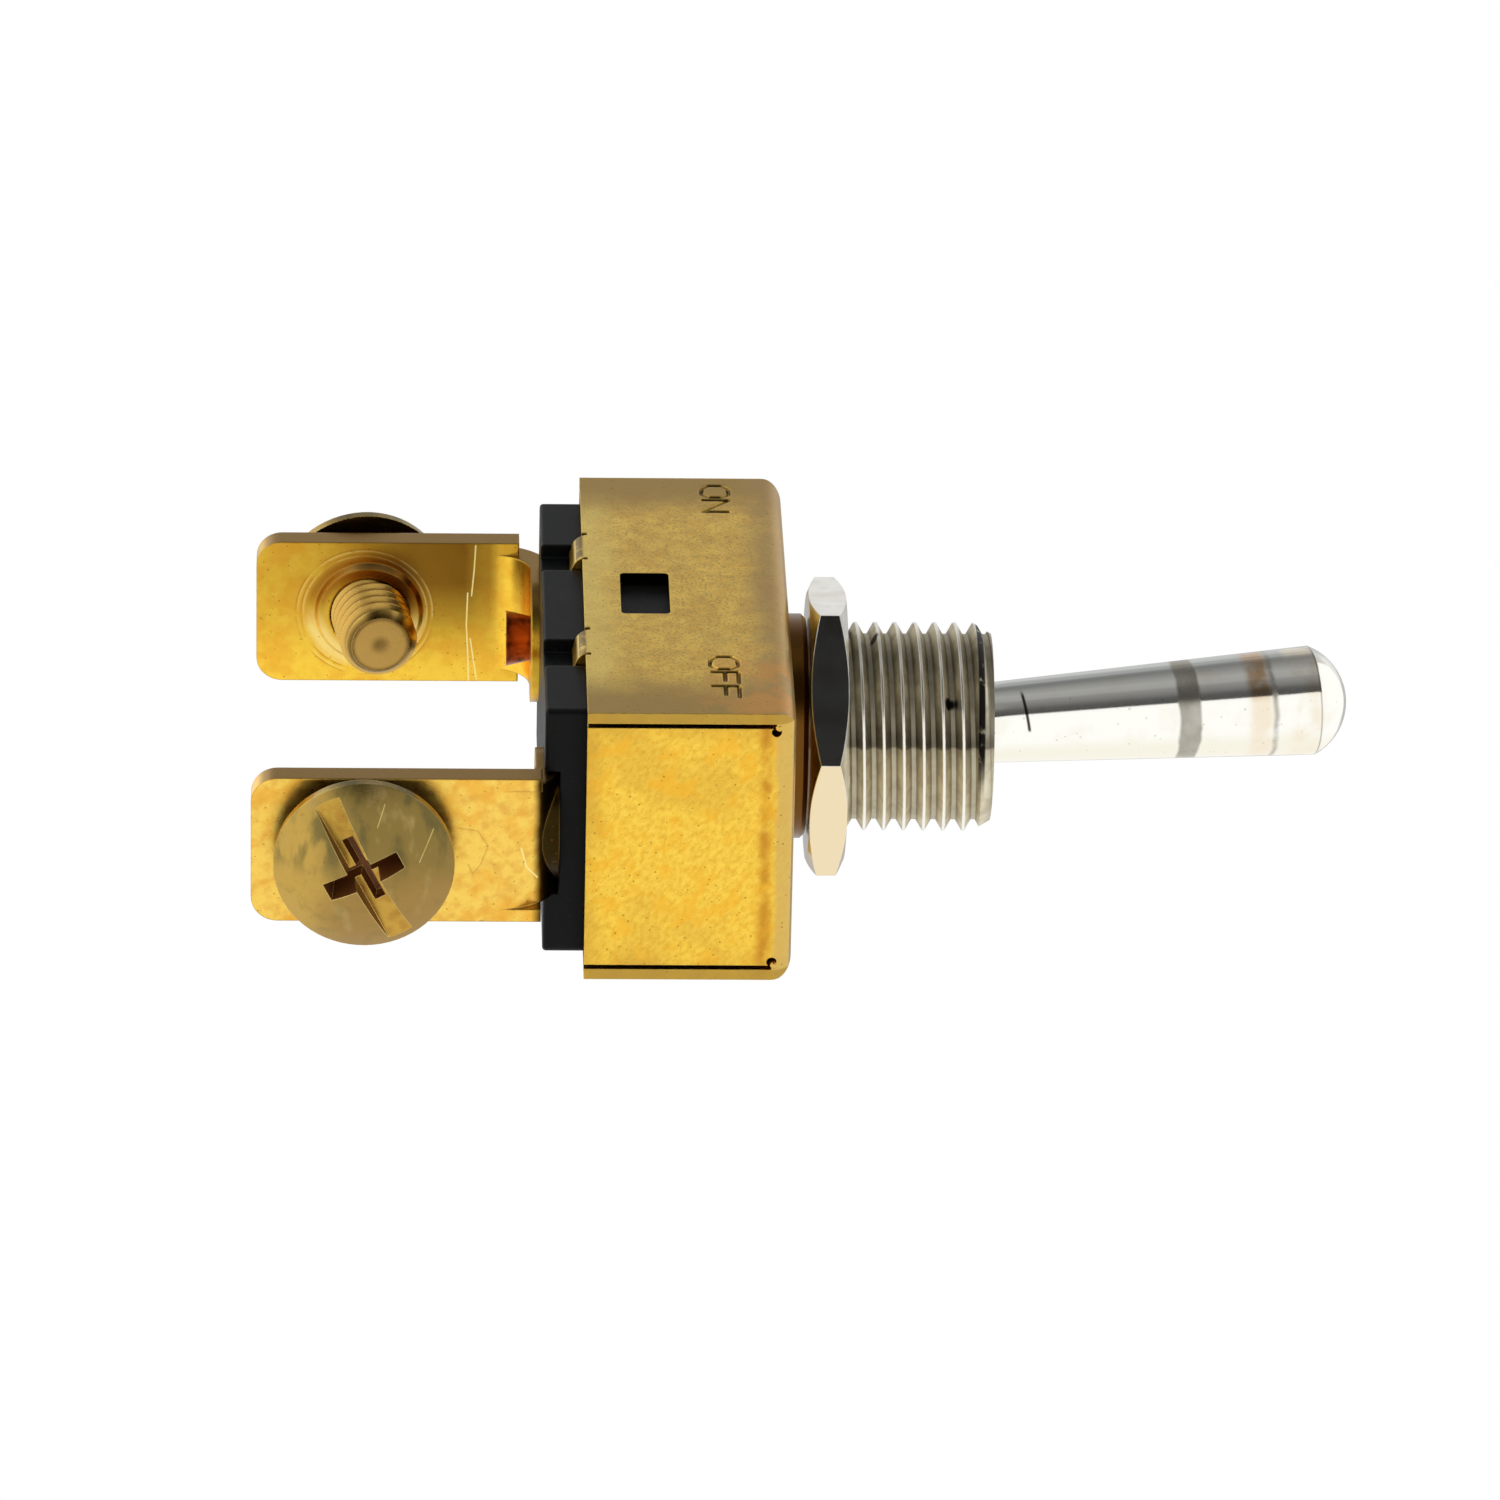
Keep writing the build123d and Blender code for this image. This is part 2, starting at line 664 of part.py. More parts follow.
with BuildPart() as fixed_contact:
    with BuildSketch(Plane.XY.offset(strip_top)):
        with Locations((contact_place, 0)):
            Circle(fixed_contact_radius)
    extrude(amount=fixed_contact_height)
    chamfer(fixed_contact.faces().sort_by(Axis.Z)[-1].edges(), length=contact_chamfer)
write(fixed_contact.part, "fixed_contact")

# Supply strip: flat, with a dimple where the open wing rests and two notched ears that carry the rocker
ear_inside = rocker_width / 2 + rocker_side_gap
ear_outside = ear_inside + saddle_ear_thickness
rest_dimple_top = rocker_height + wing_underside_lift - contact_gap
saddle_top = rocker_height + saddle_ear_lip
saddle_notch = trunnion_radius + running_fit

with BuildPart() as supply_strip:
    with BuildSketch(Plane.XY.offset(base_floor_top)):
        with Locations(((saddle_ear_length / 2 - strip_end) / 2, 0)):
            Rectangle(strip_end + saddle_ear_length / 2, strip_width)
        Rectangle(saddle_ear_length, 2 * ear_outside)
        with Locations((-rivet_place, 0)):
            Circle(rivet_radius + close_fit, mode=Mode.SUBTRACT)
    extrude(amount=strip_thickness)
    with BuildSketch(Plane.XY.offset(strip_top)):
        ear_middle = (ear_inside + ear_outside) / 2
        with Locations((0, -ear_middle), (0, ear_middle)):
            Rectangle(saddle_ear_length, saddle_ear_thickness)
    extrude(amount=saddle_top - strip_top)
    with BuildSketch(Plane.XZ):
        with Locations((0, rocker_height)):
            Circle(saddle_notch)
        with Locations((0, (rocker_height + saddle_top) / 2)):
            Rectangle(2 * saddle_notch, saddle_top - rocker_height)
    extrude(amount=ear_outside, both=True, mode=Mode.SUBTRACT)
    with BuildSketch(Plane.XY.offset(strip_top)):
        with Locations((-contact_place, 0)):
            Circle(rest_dimple_radius)
    with BuildSketch(Plane.XY.offset(rest_dimple_top)):
        with Locations((-contact_place, 0)):
            Circle(rest_dimple_top_radius)
    loft()
write(supply_strip.part, "supply_strip")

# Rocker: the strip's middle line runs up both sides of the cradle and on along the wings
half_thick = rocker_thickness / 2
mitre_angle = (cradle + lean) / 2
mitre = half_thick / cos((cradle - lean) / 2)
cradle_rise = cradle_half_length * tan(cradle)
wing_rise = cradle_rise + (rocker_half_length - cradle_half_length) * tan(lean)


def rocker_edge(over: int) -> list:
    """Points of the rocker's upper (+1) or lower (-1) face, from its -x end to its +x end."""
    right = [
        (cradle_half_length - over * mitre * sin(mitre_angle), cradle_rise + over * mitre * cos(mitre_angle)),
        (rocker_half_length - over * half_thick * sin(lean), wing_rise + over * half_thick * cos(lean)),
    ]
    left = [(-x, y) for x, y in reversed(right)]
    return left + [(0, over * half_thick / cos(cradle))] + right


with BuildPart() as rocker:
    with BuildSketch(rocker_plane):
        with BuildLine():
            Polyline(*rocker_edge(1), *reversed(rocker_edge(-1)), close=True)
        make_face()
    extrude(amount=rocker_width / 2, both=True)
    with BuildSketch(rocker_plane):
        Circle(trunnion_radius)
    extrude(amount=ear_outside, both=True)
write(rocker.part, "rocker")

with BuildPart() as moving_contact:
    with BuildSketch(Plane.XY.offset(fixed_contact_top + contact_gap)):
        with Locations((contact_place, 0)):
            Circle(moving_contact_radius)
    extrude(amount=moving_contact_height)
    chamfer(moving_contact.faces().sort_by(Axis.Z)[0].edges(), length=contact_chamfer)
write(moving_contact.part, "moving_contact")
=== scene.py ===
"""Looks of a heavy-duty toggle switch with a folded brass case, screw terminals and a chromed bat lever.

Metres, in the frame of the solids: +Z runs out through the bushing, the lever swings along X with ON at -X,
and the stamped long flap of the case faces -Y. Fields of the classes are in millimetres and degrees.
"""

import json
import logging
from collections.abc import Callable
from dataclasses import dataclass
from enum import Enum
from itertools import product
from math import cos, pi, radians, sin, tan

import bmesh
import bpy
import numpy as np
from mathutils import Matrix, Vector

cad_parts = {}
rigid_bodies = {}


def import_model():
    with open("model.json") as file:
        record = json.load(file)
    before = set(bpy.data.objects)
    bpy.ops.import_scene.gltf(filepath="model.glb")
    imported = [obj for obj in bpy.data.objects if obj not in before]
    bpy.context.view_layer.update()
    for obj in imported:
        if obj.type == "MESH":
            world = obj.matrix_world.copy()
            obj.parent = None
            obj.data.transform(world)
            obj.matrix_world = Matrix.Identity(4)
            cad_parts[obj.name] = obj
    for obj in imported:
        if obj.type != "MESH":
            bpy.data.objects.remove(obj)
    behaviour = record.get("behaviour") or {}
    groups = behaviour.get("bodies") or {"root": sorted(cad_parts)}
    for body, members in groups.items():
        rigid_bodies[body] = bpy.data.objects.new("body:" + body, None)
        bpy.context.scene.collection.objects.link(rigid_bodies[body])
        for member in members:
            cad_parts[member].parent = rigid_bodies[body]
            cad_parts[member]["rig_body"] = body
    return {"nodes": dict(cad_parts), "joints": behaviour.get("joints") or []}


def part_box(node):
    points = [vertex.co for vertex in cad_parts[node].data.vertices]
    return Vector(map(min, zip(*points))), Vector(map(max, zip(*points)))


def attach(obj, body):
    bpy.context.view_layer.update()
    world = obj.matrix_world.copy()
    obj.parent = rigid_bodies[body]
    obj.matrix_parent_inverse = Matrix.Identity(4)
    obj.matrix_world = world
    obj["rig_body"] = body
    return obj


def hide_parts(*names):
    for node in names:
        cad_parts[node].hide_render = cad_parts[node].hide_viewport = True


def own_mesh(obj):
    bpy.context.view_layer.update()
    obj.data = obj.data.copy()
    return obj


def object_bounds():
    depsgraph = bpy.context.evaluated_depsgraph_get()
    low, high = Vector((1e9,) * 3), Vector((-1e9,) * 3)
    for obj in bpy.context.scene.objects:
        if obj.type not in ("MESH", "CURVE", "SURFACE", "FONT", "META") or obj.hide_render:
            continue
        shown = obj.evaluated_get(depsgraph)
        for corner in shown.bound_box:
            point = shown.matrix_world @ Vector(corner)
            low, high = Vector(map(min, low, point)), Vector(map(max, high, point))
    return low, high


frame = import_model()
CAD_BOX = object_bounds()

MM = 0.001
LOG = logging.getLogger("toggle_switch")
WHITE = (1.0, 1.0, 1.0, 1.0)
CORNER_GAP = 1e-4
FLAT_LIMIT = 0.4
BEVEL_SAMPLES = 6

Socket = bpy.types.NodeSocket
Pair = tuple[float, float]
Triple = tuple[float, float, float]
Colour = tuple[float, float, float, float]
Mark = tuple[float, float, float, float]
Coat = tuple[object, object, float]


def tone(red: int, green: int, blue: int) -> Colour:
    """Turns a screen tone, 0 to 255 a channel, into the linear colour that shows as it.

    Args:
        red: Red of the tone.
        green: Green of the tone.
        blue: Blue of the tone.

    Returns:
        Linear red, green and blue, with full alpha.
    """
    part = np.array([red, green, blue]) / 255
    linear = np.where(part <= 0.04045, part / 12.92, ((part + 0.055) / 1.055) ** 2.4)
    return (*(float(c) for c in linear), 1.0)


def joint(name: str) -> dict:
    """The frame's joint of that name."""
    return next(entry for entry in frame["joints"] if entry["name"] == name)


def in_mm(place: Vector) -> Triple:
    """A place in millimetres."""
    return tuple(c / MM for c in place)


class Effect(Enum):
    """Node groups that several finishes share."""

    EDGE = "WornEdge"
    GRAIN = "RolledGrain"
    SPECKS = "DarkSpecks"
    SCRATCHES = "FineScratches"


class Graph:
    """Adds nodes to one shader tree and links them by short calls."""

    def __init__(self, tree: bpy.types.NodeTree) -> None:
        """Keeps the tree that the nodes go into."""
        self.tree = tree

    def add(self, kind: str, inputs: dict | None = None, **settings: object) -> bpy.types.Node:
        """Adds one node.

        Args:
            kind: Node type without its ShaderNode prefix.
            inputs: Sockets to link, or values to set, by input name or number.
            settings: Properties of the node.

        Returns:
            The new node.
        """
        node = self.tree.nodes.new(f"ShaderNode{kind}")
        for name, value in settings.items():
            setattr(node, name, value)
        for name, value in (inputs or {}).items():
            self.feed(node.inputs[name], value)
        return node

    def feed(self, socket: Socket, value: object) -> None:
        """Links a socket to another one, or sets its own value."""
        if isinstance(value, Socket):
            self.tree.links.new(value, socket)
        else:
            socket.default_value = value

    def math(self, operation: str, first: object, second: object = 0.0) -> Socket:
        """Result of a Math node on two sockets or numbers."""
        return self.add("Math", {0: first, 1: second}, operation=operation).outputs[0]

    def times(self, *factors: object) -> object:
        """Product of sockets or numbers, taken from left to right."""
        total = factors[0]
        for factor in factors[1:]:
            total = self.math("MULTIPLY", total, factor)
        return total

    def plus(self, first: object, second: object) -> Socket:
        """Sum of two values."""
        return self.math("ADD", first, second)

    def less(self, first: object, second: object) -> Socket:
        """First value less the second."""
        return self.math("SUBTRACT", first, second)

    def most(self, first: object, second: object) -> Socket:
        """Larger of two values."""
        return self.math("MAXIMUM", first, second)

    def size(self, value: Socket) -> Socket:
        """Value without its sign."""
        return self.math("ABSOLUTE", value)

    def vector(self, operation: str, first: object, second: object) -> Socket:
        """Vector that a Vector Math node makes of two vectors."""
        return self.add("VectorMath", {0: first, 1: second}, operation=operation).outputs[0]

    def measure(self, operation: str, first: object, second: object = (0, 0, 0)) -> Socket:
        """Number that a Vector Math node makes of one or two vectors."""
        return self.add("VectorMath", {0: first, 1: second}, operation=operation).outputs["Value"]

    def scaled(self, vector: object, factor: object) -> Socket:
        """Vector times a number."""
        return self.add("VectorMath", {0: vector, "Scale": factor}, operation="SCALE").outputs[0]

    def place(self) -> Socket:
        """Place on the piece in millimetres, from its Object coordinates."""
        return self.scaled(self.add("TexCoord").outputs["Object"], 1 / MM)

    def normal(self) -> Socket:
        """The way the surface faces, before any relief."""
        return self.add("NewGeometry").outputs["Normal"]

    def split(self, vector: Socket) -> tuple[Socket, Socket, Socket]:
        """The three parts of a vector."""
        return tuple(self.add("SeparateXYZ", {0: vector}).outputs)

    def span(self, parts: dict[int, Socket]) -> Socket:
        """Length of the vector that has these parts, by number."""
        return self.measure("LENGTH", self.add("CombineXYZ", parts).outputs[0])

    def noise(self, where: Socket, scale: object, detail: float, distortion: float = 0.0) -> Socket:
        """Soft noise from 0 to 1, with scale in waves a millimetre."""
        inputs = {"Vector": where, "Scale": scale, "Detail": detail, "Distortion": distortion}
        return self.add("TexNoise", inputs).outputs[0]

    def patches(self, where: Socket, scale: float, detail: float, low: float, high: float) -> Socket:
        """Soft-edged patches: noise stepped between two of its levels."""
        return self.step(self.noise(where, scale, detail), low, high)

    def wander(self, where: Socket, scale: float, detail: float, reach: float) -> Socket:
        """Noise that strays by a reach to both sides of 0."""
        return self.scale(self.noise(where, scale, detail), -reach, reach)

    def stretched(self, where: Socket, scale: Triple, turn: Triple = (0, 0, 0)) -> Socket:
        """Place turned by angles in degrees and then scaled along each axis."""
        turned = self.add("Mapping", {"Vector": where, "Rotation": [radians(a) for a in turn]})
        return self.vector("MULTIPLY", turned.outputs[0], scale)

    def step(self, value: Socket, low: float, high: float) -> Socket:
        """Smooth step from 0 at low to 1 at high, or falling where low is above high."""
        flip = low > high
        inputs = {0: value, 1: min(low, high), 2: max(low, high), 3: float(flip), 4: float(not flip)}
        return self.add("MapRange", inputs, interpolation_type="SMOOTHSTEP").outputs[0]

    def band(self, value: Socket, low: float, high: float, soft: float) -> Socket:
        """Mask that is 1 between two limits and falls to 0 over a soft edge."""
        rise = self.step(value, low - soft, low + soft)
        return self.times(rise, self.step(value, high + soft, high - soft))

    def scale(self, mask: object, low: float, high: float) -> Socket:
        """Maps a mask from 0 to 1 onto a range of values."""
        return self.add("MapRange", {0: mask, 3: low, 4: high}).outputs[0]

    def mix(self, mask: object, first: object, second: object, blend: str = "MIX") -> Socket:
        """Colour that goes from first to second with the mask."""
        inputs = {0: mask, 6: first, 7: second}
        return self.add("Mix", inputs, data_type="RGBA", blend_type=blend).outputs[2]

    def coats(self, colour: object, *coats: Coat) -> object:
        """Lays coats over a colour in turn.

        Args:
            colour: What lies below them.
            coats: Mask, colour and strength of each coat.

        Returns:
            The coated colour.
        """
        for mask, coat, strength in coats:
            share = self.scale(mask, 0.0, strength) if strength < 1.0 else mask
            colour = self.mix(share, colour, coat)
        return colour

    def bump(self, height: Socket, depth: float, strength: float, under: Socket) -> Socket:
        """Normal pushed by a height from 0 to 1, with depth in millimetres."""
        inputs = {"Height": height, "Distance": depth * MM, "Strength": strength, "Normal": under}
        return self.add("Bump", inputs).outputs[0]

    def segment(self, place: Socket, mark: Mark, width: float) -> Socket:
        """Mask of a straight mark in the YZ plane.

        Args:
            place: Place in millimetres.
            mark: Y and Z of one end, and Y and Z of the other.
            width: Distance from the line at which the mark has faded out.

        Returns:
            The mask, 1 on the line.
        """
        begin = Vector((0.0, *mark[:2]))
        span = Vector((0.0, *mark[2:])) - begin
        offset = self.vector("SUBTRACT", self.vector("MULTIPLY", place, (0, 1, 1)), begin)
        share = self.measure("DOT_PRODUCT", offset, span / span.length_squared)
        nearest = self.scaled(span, self.add("Clamp", {0: share}).outputs[0])
        return self.step(self.measure("DISTANCE", offset, nearest), width, width / 2)

    def levels(self, value: Socket, stops: tuple[Pair, ...]) -> Socket:
        """Grey that runs through the given levels.

        Args:
            value: What the levels go by.
            stops: Value and level of each stop, in rising order.

        Returns:
            The level between the stops.
        """
        low, high = stops[0][0], stops[-1][0]
        ramp = self.add("ValToRGB", {0: self.add("MapRange", {0: value, 1: low, 2: high}).outputs[0]})
        while len(ramp.color_ramp.elements) < len(stops):
            ramp.color_ramp.elements.new(0.5)
        for element, (at, level) in zip(ramp.color_ramp.elements, stops):
            element.position = (at - low) / (high - low)
            element.color = (level, level, level, 1.0)
        return ramp.outputs[0]

    def group(self, effect: Effect, inputs: dict[str, object]) -> dict[str, Socket]:
        """Places a shared effect and gives its outputs by name."""
        node = self.add("Group", inputs, node_tree=bpy.data.node_groups[effect.value])
        return {socket.name: socket for socket in node.outputs}

    def edge(self, radius: float) -> dict[str, Socket]:
        """Rounded normal and mask of the edges."""
        return self.group(Effect.EDGE, {"Radius": radius * MM})

    def grain(self, where: Socket, blotch: float, grain: float) -> dict[str, Socket]:
        """Blotches and grain of the given sizes."""
        return self.group(Effect.GRAIN, {"Place": where, "Blotch Size": blotch, "Grain Size": grain})

    def specks(self, where: Socket, spacing: float, amount: float) -> Socket:
        """Mask of dark specks."""
        return self.group(Effect.SPECKS, {"Place": where, "Spacing": spacing, "Amount": amount})["Mask"]

    def scratches(self, where: Socket, width: float) -> Socket:
        """Mask of fine scratches."""
        return self.group(Effect.SCRATCHES, {"Place": where, "Width": width})["Mask"]


class SharedEffects:
    """Builds the node groups that several finishes use."""

    def build(self) -> None:
        """Builds every group once."""
        self.worn_edge()
        self.rolled_grain()
        self.dark_specks()
        self.fine_scratches()

    @staticmethod
    def begin(effect: Effect, inputs: dict[str, float | None]) -> tuple[Graph, dict[str, Socket]]:
        """Starts a group.

        Args:
            effect: The effect that the group makes.
            inputs: Default value by input name; None stands for a vector.

        Returns:
            The group's graph and its inputs by name.
        """
        tree = bpy.data.node_groups.new(effect.value, "ShaderNodeTree")
        for label, value in inputs.items():
            kind = "NodeSocketVector" if value is None else "NodeSocketFloat"
            socket = tree.interface.new_socket(name=label, in_out="INPUT", socket_type=kind)
            if value is not None:
                socket.default_value = value
        return Graph(tree), {s.name: s for s in tree.nodes.new("NodeGroupInput").outputs}

    @staticmethod
    def end(graph: Graph, outputs: dict[str, Socket]) -> None:
        """Gives a group its outputs, by name."""
        for label, socket in outputs.items():
            kind = "NodeSocketVector" if socket.type == "VECTOR" else "NodeSocketFloat"
            graph.tree.interface.new_socket(name=label, in_out="OUTPUT", socket_type=kind)
        target = graph.tree.nodes.new("NodeGroupOutput")
        for label, socket in outputs.items():
            graph.feed(target.inputs[label], socket)

    def worn_edge(self) -> None:
        """Rounds sharp edges: the normal is averaged over a radius, and the mask is where that turns it."""
        graph, given = self.begin(Effect.EDGE, {"Radius": 0.1 * MM})
        rounded = graph.add("Bevel", {"Radius": given["Radius"]}, samples=BEVEL_SAMPLES).outputs[0]
        agreement = graph.measure("DOT_PRODUCT", rounded, graph.normal())
        self.end(graph, {"Normal": rounded, "Edge": graph.step(agreement, 0.995, 0.85)})

    def rolled_grain(self) -> None:
        """Blotches and fine grain of rolled sheet: two noises of unlike size."""
        graph, given = self.begin(Effect.GRAIN, {"Place": None, "Blotch Size": 1.0, "Grain Size": 0.1})
        blotches = graph.math("DIVIDE", 1.0, given["Blotch Size"])
        grains = graph.math("DIVIDE", 1.0, given["Grain Size"])
        blotch = graph.noise(given["Place"], blotches, 5.0, 0.15)
        self.end(graph, {"Blotch": blotch, "Grain": graph.noise(given["Place"], grains, 2.0)})

    def dark_specks(self) -> None:
        """Small round pits: cells whose nearest point lies within a radius, thinned by a coarse noise."""
        graph, given = self.begin(Effect.SPECKS, {"Place": None, "Spacing": 1.0, "Amount": 0.5})
        scale = graph.math("DIVIDE", 1.0, given["Spacing"])
        cells = graph.add("TexVoronoi", {"Vector": given["Place"], "Scale": scale}).outputs["Distance"]
        chance = graph.noise(given["Place"], graph.times(scale, 0.7), 1.0)
        reach = graph.times(chance, given["Amount"], 0.35)
        self.end(graph, {"Mask": graph.step(graph.less(reach, cells), 0.0, 0.06)})

    def fine_scratches(self) -> None:
        """Thin long marks: the narrow middle band of a noise that is drawn out along one axis."""
        graph, given = self.begin(Effect.SCRATCHES, {"Place": None, "Width": 0.02})
        offset = graph.size(graph.less(graph.noise(given["Place"], 1.0, 1.0), 0.5))
        inside = graph.less(given["Width"], offset)
        line = graph.add("MapRange", {0: inside, 1: 0.0, 2: 0.01}).outputs[0]
        self.end(graph, {"Mask": graph.times(line, graph.patches(given["Place"], 0.37, 1.0, 0.5, 0.62))})


def new_material(name: str) -> tuple[bpy.types.Material, Graph, bpy.types.Node]:
    """Makes a material.

    Args:
        name: Name of the material.

    Returns:
        The material, the graph of its nodes and its shader node.
    """
    material = bpy.data.materials.new(name)
    material.use_nodes = True
    return material, Graph(material.node_tree), material.node_tree.nodes["Principled BSDF"]


@dataclass(frozen=True)
class Finish:
    """A surface finish with its own material.

    Grain is the size of its blotches and of its grain, relief the depth and strength of its bumps, and specks
    their spacing and amount.
    """

    name: str
    edge_radius: float = 0.08
    grain: Pair = (0.9, 0.08)
    relief: Pair = (0.01, 0.4)
    specks: Pair = (0.6, 0.5)

    def paint(self, graph: Graph) -> dict[str, object]:
        """Sockets or values for the shader's inputs, by name."""
        raise NotImplementedError

    def ground(self, graph: Graph) -> tuple[Socket, dict[str, Socket], dict[str, Socket]]:
        """Place on the piece, and its worn edges and grain."""
        place = graph.place()
        return place, graph.edge(self.edge_radius), graph.grain(place, *self.grain)

    def look(
        self, graph: Graph, edge: dict[str, Socket], colour: Socket, roughness: Socket, height: Socket,
        metallic: object = 1.0,
    ) -> dict[str, object]:
        """Collects the shader's inputs.

        Args:
            graph: Graph of the material.
            edge: The worn edges, whose normal lies under the relief.
            colour: Colour of the surface.
            roughness: Its roughness.
            height: Its relief, from 0 to 1.
            metallic: 1 for bare metal and 0 for plastic or dirt.

        Returns:
            The inputs by name.
        """
        normal = graph.bump(height, *self.relief, edge["Normal"])
        return {"Base Color": colour, "Metallic": metallic, "Roughness": roughness, "Normal": normal}

    def material(self) -> bpy.types.Material:
        """Makes the material, with its shader fed by the finish."""
        material, graph, shader = new_material(self.name)
        for name, value in self.paint(graph).items():
            graph.feed(shader.inputs[name], value)
        return material


@dataclass(frozen=True)
class CaseBrass(Finish):
    """Rolled brass: bright gold on the short flaps, and olive tarnish on the long ones with brown ends."""

    edge_radius: float = 0.09
    grain: Pair = (0.9, 0.14)
    short_grain: Pair = (0.42, 0.09)
    relief: Pair = (0.02, 0.5)
    specks: Pair = (0.42, 0.72)
    sheet: float = 0.6
    fold: float = -4.2
    lower_edge: float = -14.0
    half_length: float = 14.3
    half_width: float = 7.8
    window_half: float = 2.6
    window_levels: Pair = (-12.2, -9.3)
    word_depths: Pair = (0.04, 0.28)
    blush_columns: Pair = (5.5, 10.0)
    blush_levels: Pair = (-9.0, -5.0)
    slant_scale: Triple = (1.0, 1.0, 1.7)
    slant_turn: Triple = (35, 0, 0)
    gold: Colour = tone(252, 209, 78)
    gold_dark: Colour = tone(230, 178, 54)
    gold_pale: Colour = tone(255, 228, 104)
    amber: Colour = tone(246, 184, 52)
    fold_brown: Colour = tone(198, 132, 40)
    fold_pale: Colour = tone(212, 178, 98)
    gold_border: Colour = tone(202, 154, 58)
    flap_end: Colour = tone(180, 144, 64)
    olive: Colour = tone(255, 214, 100)
    olive_dark: Colour = tone(236, 190, 86)
    olive_pale: Colour = tone(255, 230, 132)
    olive_border: Colour = tone(180, 146, 78)
    stain_grey: Colour = tone(184, 150, 92)
    stain_orange: Colour = tone(232, 166, 80)
    dirt: Colour = tone(92, 70, 34)
    # Black of the painted shade on the walls of the front's opening.
    black: Colour = tone(20, 17, 10)

    def short_flaps(self, graph: Graph, place: Socket, wander: Socket) -> tuple[Socket, Socket]:
        """Bright gold with slanted blotches, darker at its borders and rubbed brown and pale at the fold.

        Args:
            graph: Graph of the material.
            place: Place in millimetres.
            wander: Slow noise in millimetres that frays the border.

        Returns:
            Colour and height sockets.
        """
        _, y, z = graph.split(place)
        slanted = graph.stretched(place, self.slant_scale, self.slant_turn)
        mottle = graph.grain(slanted, *self.short_grain)
        border = graph.most(
            graph.step(graph.plus(graph.size(y), wander), self.half_width - 2.0, self.half_width),
            graph.step(graph.plus(z, wander), self.lower_edge + 1.2, self.lower_edge - 0.3),
        )
        frayed = graph.plus(z, graph.times(wander, 0.15))
        rubbed = graph.scale(graph.patches(place, 0.6, 4.0, 0.36, 0.6), 0.25, 0.85)
        streak = graph.times(graph.band(frayed, self.fold - 0.75, self.fold - 0.15, 0.3), rubbed)
        gold = graph.coats(
            graph.mix(graph.step(mottle["Blotch"], 0.24, 0.7), self.gold_dark, self.gold),
            (graph.step(mottle["Grain"], 0.5, 0.7), self.gold_pale, 0.6),
            (graph.patches(place, 0.24, 3.0, 0.52, 0.34), self.gold_border, 0.3),
            (graph.patches(slanted, 0.55, 5.0, 0.5, 0.64), self.amber, 0.6),
            (border, self.gold_border, 0.6),
            (streak, self.fold_brown, 1.0),
            (graph.step(frayed, self.fold - 0.1, self.fold + 0.3), self.fold_pale, 0.8),
        )
        return gold, graph.plus(mottle["Blotch"], graph.times(mottle["Grain"], 0.5))

    def long_flaps(self, graph: Graph, place: Socket, wander: Socket) -> tuple[Socket, Socket]:
        """Olive tarnish, darker at both ends and along the fold, with an orange blush and dirt in the words.

        Args:
            graph: Graph of the material.
            place: Place in millimetres.
            wander: Slow noise in millimetres that frays the border.

        Returns:
            Colour and height sockets.
        """
        x, y, z = graph.split(place)
        smooth = graph.grain(place, *self.grain)
        cloudy = graph.noise(place, 0.5, 5.0)
        beside = graph.plus(graph.size(x), wander)
        level = graph.plus(z, wander)
        blush = graph.times(graph.step(x, *self.blush_columns), graph.step(level, *self.blush_levels))
        blush = graph.times(blush, graph.step(cloudy, 0.4, 0.6))
        shallow, deep = (depth - self.half_width for depth in self.word_depths)
        sunk = graph.times(
            graph.band(y, shallow, deep, 0.03),
            graph.step(z, self.fold, self.fold - 0.2),
            graph.step(smooth["Blotch"], 0.26, 0.5),
        )
        olive = graph.coats(
            graph.mix(graph.step(smooth["Blotch"], 0.3, 0.66), self.olive_dark, self.olive),
            (graph.step(cloudy, 0.5, 0.3), self.olive_border, 0.26),
            (graph.step(smooth["Grain"], 0.5, 0.34), self.olive_border, 0.55),
            (graph.step(level, self.lower_edge + 2.6, self.lower_edge + 0.4), self.olive_pale, 0.5),
            (graph.step(beside, self.half_length - 5.6, self.half_length - 1.4), self.olive_border, 0.95),
            (graph.step(level, self.fold - 1.9, self.fold + 0.2), self.stain_grey, 0.8),
            (blush, self.stain_orange, 0.7),
            (sunk, self.dirt, 0.85),
        )
        return olive, smooth["Grain"]

